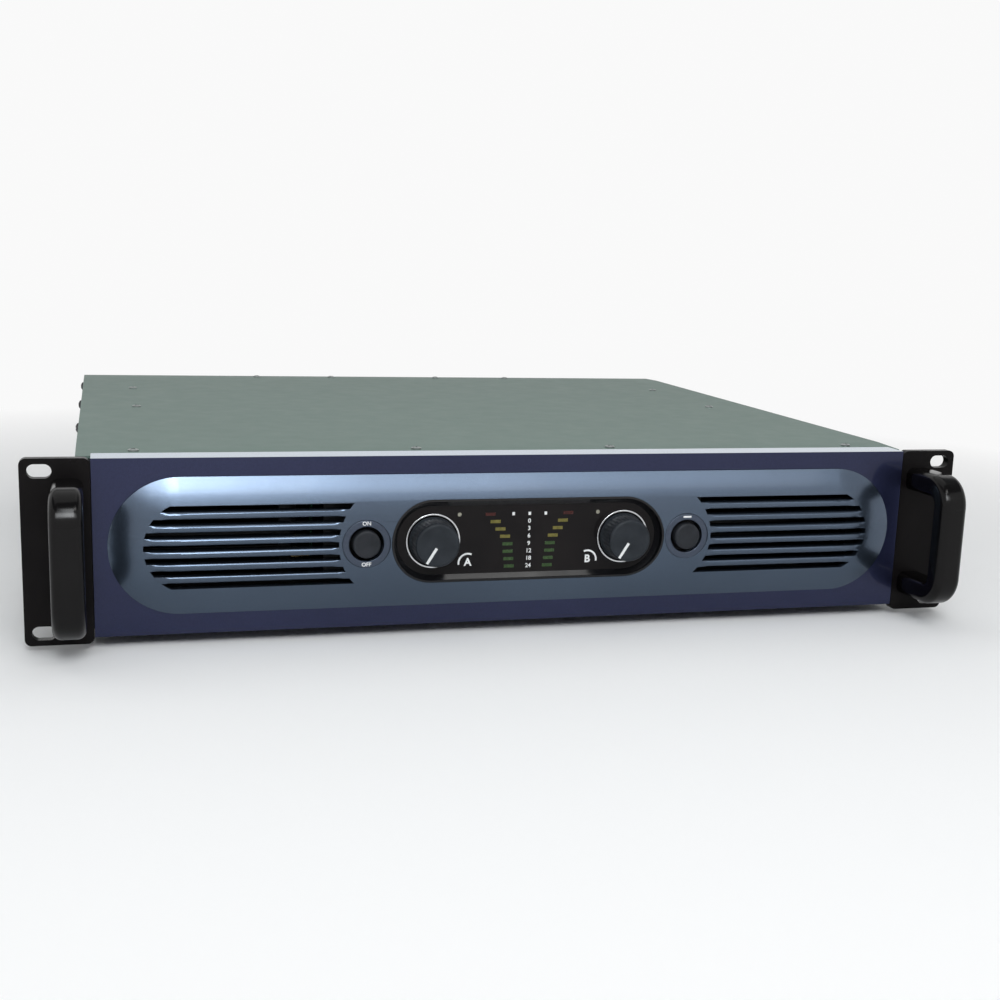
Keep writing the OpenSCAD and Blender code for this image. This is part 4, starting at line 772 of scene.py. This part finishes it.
# Print stands a little off the window or ring that carries it
WINDOW_LIFT = 0.04
RING_LIFT = 0.02
PRINT_Y = LENS_FRONT - WINDOW_LIFT
PRINT_THICK = 0.06
# Corners of a printed line's section: across its width, then through its thickness
LINE_CORNERS = ((-1, -1), (1, -1), (1, 1), (-1, 1))
ARC_STEPS = 14


def lamp_bars(name, rows, mat, slot):
    """Unlit bars of one colour in some rows of the meter, on both sides."""
    spots = [(on_controls(side * LAMP_OUT[row], PRINT_Y, LAMP_ROWS[row]), FLAT)
             for row in rows for side in SIDES]
    return keep(repeated(name, METER_BARS, spots, mat, **LAMP_BAR), "chassis", (), slot)


lamp_bars("lamp_bars_red", (0,), lamp_red, "lamp_red")
lamp_bars("lamp_bars_yellow", (1, 2, 3), lamp_yellow, "lamp_yellow")
lamp_bars("lamp_bars_green", (4, 5, 6, 7), lamp_green, "lamp_green")


def printed(name, words, place, size, bold=0.05):
    """Flat printed characters facing the front, centred on their place."""
    curve = bpy.data.curves.new(name, "FONT")
    curve.body = words
    curve.size = size * MM
    curve.extrude = PRINT_THICK / 2 * MM
    curve.offset = bold * MM
    curve.align_x = "CENTER"
    curve.align_y = "CENTER"
    curve.resolution_u = 4
    text = bpy.data.objects.new(name, curve)
    bpy.context.scene.collection.objects.link(text)
    graph = bpy.context.evaluated_depsgraph_get()
    mesh = bpy.data.meshes.new_from_object(text.evaluated_get(graph), depsgraph=graph)
    bpy.data.objects.remove(text)
    bpy.data.curves.remove(curve)
    mesh.transform(Matrix.Translation(place) @ Matrix.Rotation(math.pi / 2, 4, "X"))
    mesh.materials.clear()
    return keep(link(name, mesh, print_white), "chassis", (), "pointer_white")


def ribbon(name, points, width, y=PRINT_Y):
    """A flat printed line through points on the controls' plane."""
    bm = bmesh.new()
    loops = []
    for k, (x, z) in enumerate(points):
        before = Vector(points[max(k - 1, 0)])
        after = Vector(points[min(k + 1, len(points) - 1)])
        way = (after - before).normalized()
        off = Vector((-way.y, way.x)) * width / 2
        loops.append([bm.verts.new(on_controls(x + s * off.x, y + d * PRINT_THICK / 2, z + s * off.y))
                      for s, d in LINE_CORNERS])
    for one, two in zip(loops, loops[1:]):
        for i in range(len(LINE_CORNERS)):
            j = (i + 1) % len(LINE_CORNERS)
            bm.faces.new([one[i], one[j], two[j], two[i]])
    for end in (loops[0], loops[-1]):
        bm.faces.new(end)
    bmesh.ops.recalc_face_normals(bm, faces=bm.faces[:])
    mesh = bpy.data.meshes.new(name)
    bm.to_mesh(mesh)
    bm.free()
    return keep(link(name, mesh, print_white), "chassis", (), "pointer_white")


def arc(cx, cz, r, start, end):
    """Points along an arc, from one angle to another in degrees."""
    turns = [math.radians(start + (end - start) * k / ARC_STEPS) for k in range(ARC_STEPS + 1)]
    return [(cx + r * math.cos(a), cz + r * math.sin(a)) for a in turns]


SCALE = ("0", "3", "6", "9", "12", "18", "24")
SCALE_SIZE = 3.0
for words, z in zip(SCALE, LAMP_ROWS[1:]):
    printed("scale_" + words, words, on_controls(0, PRINT_Y, z), SCALE_SIZE)

# Short marks above the scale
MARK_X = 8.4
MARK_ENDS = (11.8, 13.4)
MARK_WIDTH = 1.3
for tag, x in ((1, -MARK_X), (9, 0), (17, MARK_X)):
    ribbon("scale_mark_%d" % tag, [(x, z) for z in MARK_ENDS], MARK_WIDTH)

# A letter with an arc around it and a signal lamp for each channel
CHANNEL_X = 31.4
LETTER_Z = -11.6
LETTER_SIZE = 5.4
LETTER_BOLD = 0.16
ARC_Z = -11.9
ARC_RADIUS = 4.7
LINE_WIDTH = 0.9
SIGNAL_X = 36.1
SIGNAL_Z = 12.7
SIGNAL_PROFILE = [(0, -0.1), (0.7, -0.1), (1.0, -0.03), (1.05, 0.1), (0, 0.1)]
SIGNAL_SIDES = 20
for letter, side, ends in (("A", -1, (190, 66)), ("B", 1, (-10, 114))):
    place = on_controls(side * CHANNEL_X, PRINT_Y, LETTER_Z)
    printed("channel_" + letter, letter, place, LETTER_SIZE, LETTER_BOLD)
    ribbon("channel_arc_" + letter, arc(side * CHANNEL_X, ARC_Z, ARC_RADIUS, *ends), LINE_WIDTH)
    place = on_controls(side * SIGNAL_X, LENS_FRONT, SIGNAL_Z)
    dot = turned("signal_dot_" + letter, SIGNAL_PROFILE, place, lamp_clear, SIGNAL_SIDES)
    keep(dot, "chassis", (), "lamp_yellow")

# Words and a plain mark beside the push buttons

RING_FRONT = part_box("button_rings")[0].y / MM - EAR_FRONT - RING_LIFT
WORD_Z = 10.1
WORD_SIZE = 2.7
DASH_HALF = 2.2
for words, z in (("ON", WORD_Z), ("OFF", -WORD_Z)):
    printed("power_" + words, words, on_controls(-BUTTON_X, RING_FRONT, z), WORD_SIZE)
ribbon("limiter_mark", [(BUTTON_X + side * DASH_HALF, WORD_Z) for side in SIDES], LINE_WIDTH, RING_FRONT)

# Case

dressed("top_cover", cover_paint, 0.35, 2)
dressed("chassis_pan", case_paint, 0.25, 1)
dressed("rear_panel", case_paint, 0.2, 1)
for node, mat in (("fan_frames", fan_plastic), ("fan_rotor_a", fan_plastic), ("fan_rotor_b", fan_plastic),
                  ("mains_inlet", socket_plastic), ("breaker", socket_plastic),
                  ("breaker_button", white_nylon), ("input_jacks", socket_plastic),
                  ("speaker_terminals", socket_plastic), ("mode_slider", white_nylon),
                  ("inlet_pins", brass), ("rubber_feet", foot_rubber)):
    dressed(node, mat, 0.25, 2)
dressed("fan_guards", wire_metal, 0.0, turn=60)

# Screws of the cover: on the sloping strips along its front and rear, on its top and down its sides
STRIP_FALL = 0.8
STRIP_RUN = 23
STRIP_SCREW = 12
STRIP_Z = COVER_TOP - STRIP_FALL * (1 - STRIP_SCREW / STRIP_RUN) + LOW_M3[0] * STRIP_FALL / STRIP_RUN
FRONT_ROW_X = (52, 190.5)
FRONT_ROW_Y = 28
REAR_ROW_X = (40, 95)
REAR_ROW_Y = 388
TOP_ROW_X = 185
TOP_ROW_Y = (202, 304)
SIDE_ROW_Y = (148, 257, 366)
SIDE_ROW_DROP = 5.5
cover_spots = []
side_spots = []
for side, way in ((-1, "left"), (1, "right")):
    cover_spots += [("up", at(side * x, FRONT_ROW_Y, STRIP_Z)) for x in FRONT_ROW_X]
    cover_spots += [("up", at(side * x, REAR_ROW_Y, STRIP_Z)) for x in REAR_ROW_X]
    cover_spots += [("up", at(side * TOP_ROW_X, y, COVER_TOP)) for y in TOP_ROW_Y]
    side_spots += [(way, at(side * BODY_HALF, y, COVER_TOP - SIDE_ROW_DROP)) for y in SIDE_ROW_Y]
screws("cover_screws", "cover_screw_heads", LOW_M3, cover_spots, dull_zinc)
screws(None, "side_screw_heads", M3, side_spots, black_zinc)

# Screws of the handles, the ears' flanges and the feet
HANDLE_X = 220.6
HANDLE_SCREW = 28.75
HANDLE_SEAT_Y = 2.3
EAR_FLANGE = 2.5
EAR_SCREW_Y = 31.5
EAR_SCREW_Z = (35, 60)
FOOT_X = 170
FOOT_Y = (55, 345)
FOOT_SEAT_Z = 3
case_spots = []
for side, way in ((-1, "left"), (1, "right")):
    case_spots += [("back", at(side * HANDLE_X, HANDLE_SEAT_Y, EAR_Z + s * HANDLE_SCREW)) for s in SIDES]
    case_spots += [(way, at(side * (PAN_HALF + EAR_FLANGE), EAR_SCREW_Y, z)) for z in EAR_SCREW_Z]
    case_spots += [("down", at(side * FOOT_X, y, FOOT_SEAT_Z)) for y in FOOT_Y]
screws("case_screws", "case_screw_heads", M4, case_spots, dull_zinc)

# Screws on the rear: the panel's corners, the inlet's flange, the fans and the terminals
CORNER_X = 209.3
CORNER_Z = 30
INLET_X = -81.52
INLET_Z = 30
INLET_SCREW = 20
INLET_FLANGE = 2.5
rear_spots = [("back", at(side * CORNER_X, BODY_DEPTH, MID_Z + s * CORNER_Z))
              for side in SIDES for s in SIDES]
rear_spots += [("back", at(INLET_X + side * INLET_SCREW, BODY_DEPTH + INLET_FLANGE, INLET_Z))
               for side in SIDES]
screws("panel_screws", "rear_screw_heads", M3, rear_spots, zinc_plate)

FAN_X = 160
FAN_HOLE = 35.75
GUARD_EYE = 2
fan_spots = [("back", at(side * FAN_X + sx * FAN_HOLE, BODY_DEPTH + GUARD_EYE, MID_Z + sz * FAN_HOLE))
             for side in SIDES for sx in SIDES for sz in SIDES]
screws("fan_screws", "fan_screw_heads", M4, fan_spots, dull_zinc)

TERMINALS = 4
TERMINAL_X = -28.74
TERMINAL_PITCH = 13
TERMINAL_PROUD = 2
terminal_spots = [("back", at(TERMINAL_X + TERMINAL_PITCH * k, BODY_DEPTH + TERMINAL_PROUD, MID_Z))
                  for k in range(TERMINALS)]
screws("terminal_screws", "terminal_screw_heads", M4, terminal_spots, zinc_plate)

# Solids that keep their own shape

PLAIN = {
    "bezel_clips": zinc_plate, "knob_pointer_a": print_white, "knob_pointer_b": print_white,
    "pot_shaft_a": shaft_metal, "pot_shaft_b": shaft_metal, "level_pots": grey_plastic,
    "control_board": board_green, "leds_red": lamp_red, "leds_yellow": lamp_yellow,
    "leds_green": lamp_green, "push_switches": grey_plastic, "front_subpanel": case_paint,
    "transformer": winding_tape, "transformer_pads": foot_rubber, "transformer_plate": zinc_plate,
    "transformer_bolt": zinc_plate, "heatsinks": fin_metal, "output_transistors": device_plastic,
    "amp_boards": board_green, "board_spacers": brass, "supply_board": board_green,
    "filter_capacitors": sleeve_blue, "bridge_rectifier": device_plastic, "mains_cable": cable_jacket,
    "ribbon_cable": ribbon_grey, "mode_switch": grey_plastic,
}
for node, mat in PLAIN.items():
    solid = frame["nodes"][node]
    if not solid.material_slots:
        solid.data.materials.append(mat)
    for slot in solid.material_slots:
        slot.material = mat

# Studio, in metres

# Radii of the flat floor and of the sweep up to the wall, the wall's height and the turns of the sweep
FLOOR_RADIUS = 2.4
SWEEP_RADIUS = 1.0
WALL_HEIGHT = 3.0
SWEEP_TURNS = range(9, 91, 9)
FLOOR_SIDES = 96
FLOOR_WELD = 1e-5
# Distances from the middle between which the floor turns plain white to the eye
PLAIN_FROM = 0.3
PLAIN_TO = 0.8


def backdrop_finish():
    """Pale floor that takes the shadow near the amplifier and is plain white to the eye further out."""
    f = Finish("studio_floor")
    f.colour(f.ramp(f.noise(1.5, 2.0), [(0.3, (0.88, 0.88, 0.88)), (0.7, (0.90, 0.90, 0.90))]))
    f.set(Roughness=0.9, Specular_IOR_Level=0.1)
    path = f.add("ShaderNodeLightPath")
    reach = f.add("ShaderNodeVectorMath", operation="LENGTH")
    f.join(f.coords, reach.inputs[0])
    glow = f.add("ShaderNodeEmission")
    glow.inputs["Color"].default_value = (0.95, 0.95, 0.95, 1)
    seen = f.pair("MAXIMUM", path.outputs["Is Camera Ray"], path.outputs["Is Glossy Ray"])
    seen = f.pair("MAXIMUM", seen, path.outputs["Is Transmission Ray"])
    share = f.pair("MULTIPLY", seen, f.spread(reach.outputs["Value"], 0.0, 1.0, PLAIN_FROM, PLAIN_TO))
    blend = f.add("ShaderNodeMixShader")
    f.join(share, blend.inputs[0])
    f.join(f.shader.outputs["BSDF"], blend.inputs[1])
    f.join(glow.outputs["Emission"], blend.inputs[2])
    f.join(blend.outputs["Shader"], f.nodes["Material Output"].inputs["Surface"])
    return f.mat


def backdrop():
    """A pale round floor that sweeps up into a wall all the way round."""
    profile = [(0.0, 0.0), (1.0, 0.0), (FLOOR_RADIUS, 0.0)]
    for turn in map(math.radians, SWEEP_TURNS):
        out = FLOOR_RADIUS + SWEEP_RADIUS * math.sin(turn)
        profile.append((out, SWEEP_RADIUS * (1.0 - math.cos(turn))))
    profile.append((FLOOR_RADIUS + SWEEP_RADIUS, WALL_HEIGHT))
    bm = bmesh.new()
    points = [bm.verts.new((r, 0, z)) for r, z in profile]
    edges = [bm.edges.new(pair) for pair in zip(points, points[1:])]
    bmesh.ops.spin(bm, geom=points + edges, axis=(0, 0, 1), cent=(0, 0, 0), angle=2 * math.pi,
                   steps=FLOOR_SIDES)
    bmesh.ops.remove_doubles(bm, verts=bm.verts[:], dist=FLOOR_WELD)
    bmesh.ops.recalc_face_normals(bm, faces=bm.faces[:])
    mesh = bpy.data.meshes.new("studio_floor")
    bm.to_mesh(mesh)
    bm.free()
    mesh.shade_smooth()
    link("studio_floor", mesh, backdrop_finish())


def softbox(name, place, target, width, height, power, tint):
    """A soft lamp: where it stands, what it faces, its size, its watts and its tint."""
    light = bpy.data.lights.new(name, "AREA")
    light.shape = "RECTANGLE"
    light.size = width
    light.size_y = height
    light.energy = power
    light.color = tint
    lamp = bpy.data.objects.new(name, light)
    lamp.location = place
    lamp.rotation_euler = (Vector(target) - Vector(place)).to_track_quat("-Z", "Y").to_euler()
    lamp.visible_camera = False
    bpy.context.scene.collection.objects.link(lamp)


COOL = (0.95, 0.98, 1.0)
WARM = (1.0, 0.99, 0.97)
backdrop()
softbox("front_light", (0.0, -1.65, 1.0), (0.0, -0.2, 0.06), 2.2, 0.45, 6.5, COOL)
softbox("middle_light", (-0.1, -1.63, 1.0), (-0.1, -0.2, 0.06), 1.3, 0.45, 4.0, COOL)
softbox("left_light", (-0.35, -1.61, 1.03), (-0.15, -0.2, 0.06), 1.0, 0.4, 5.5, COOL)
softbox("tall_light", (-0.21, -1.17, 0.91), (-0.2, -0.19, 0.06), 0.16, 0.6, 3.2, COOL)
softbox("key_light", (0.2, -0.94, 1.12), (0.0, -0.19, 0.05), 0.6, 0.2, 2.2, WARM)
softbox("top_light", (-0.1, 0.55, 2.2), (0.0, 0.2, 0.05), 2.8, 2.4, 15.5, WARM)

world = bpy.data.worlds.new("studio")
bpy.context.scene.world = world
world.use_nodes = True
sky = world.node_tree.nodes["Background"]
sky.inputs["Color"].default_value = (0.9, 0.95, 1.0, 1)
sky.inputs["Strength"].default_value = 0.24

# The photo's viewpoint, found from the rack slots and the cover's rear corners
EYE = (-0.20242, -0.84841, 0.19446)
HEADING = math.radians(-16.292)
TILT = math.radians(78.168)
ROLL = math.radians(1.988)
camera = bpy.data.cameras.new("camera")
camera.sensor_width = 36
camera.lens = 50.60
camera.shift_x = -0.0109
camera.shift_y = 0.0359
camera.clip_start = 0.01
viewer = bpy.data.objects.new("camera", camera)
viewer.location = EYE
turn = Matrix.Rotation(HEADING, 3, "Z") @ Matrix.Rotation(TILT, 3, "X") @ Matrix.Rotation(ROLL, 3, "Z")
viewer.rotation_euler = turn.to_euler()
bpy.context.scene.collection.objects.link(viewer)
bpy.context.scene.camera = viewer
bpy.context.scene.view_settings.view_transform = "Standard"
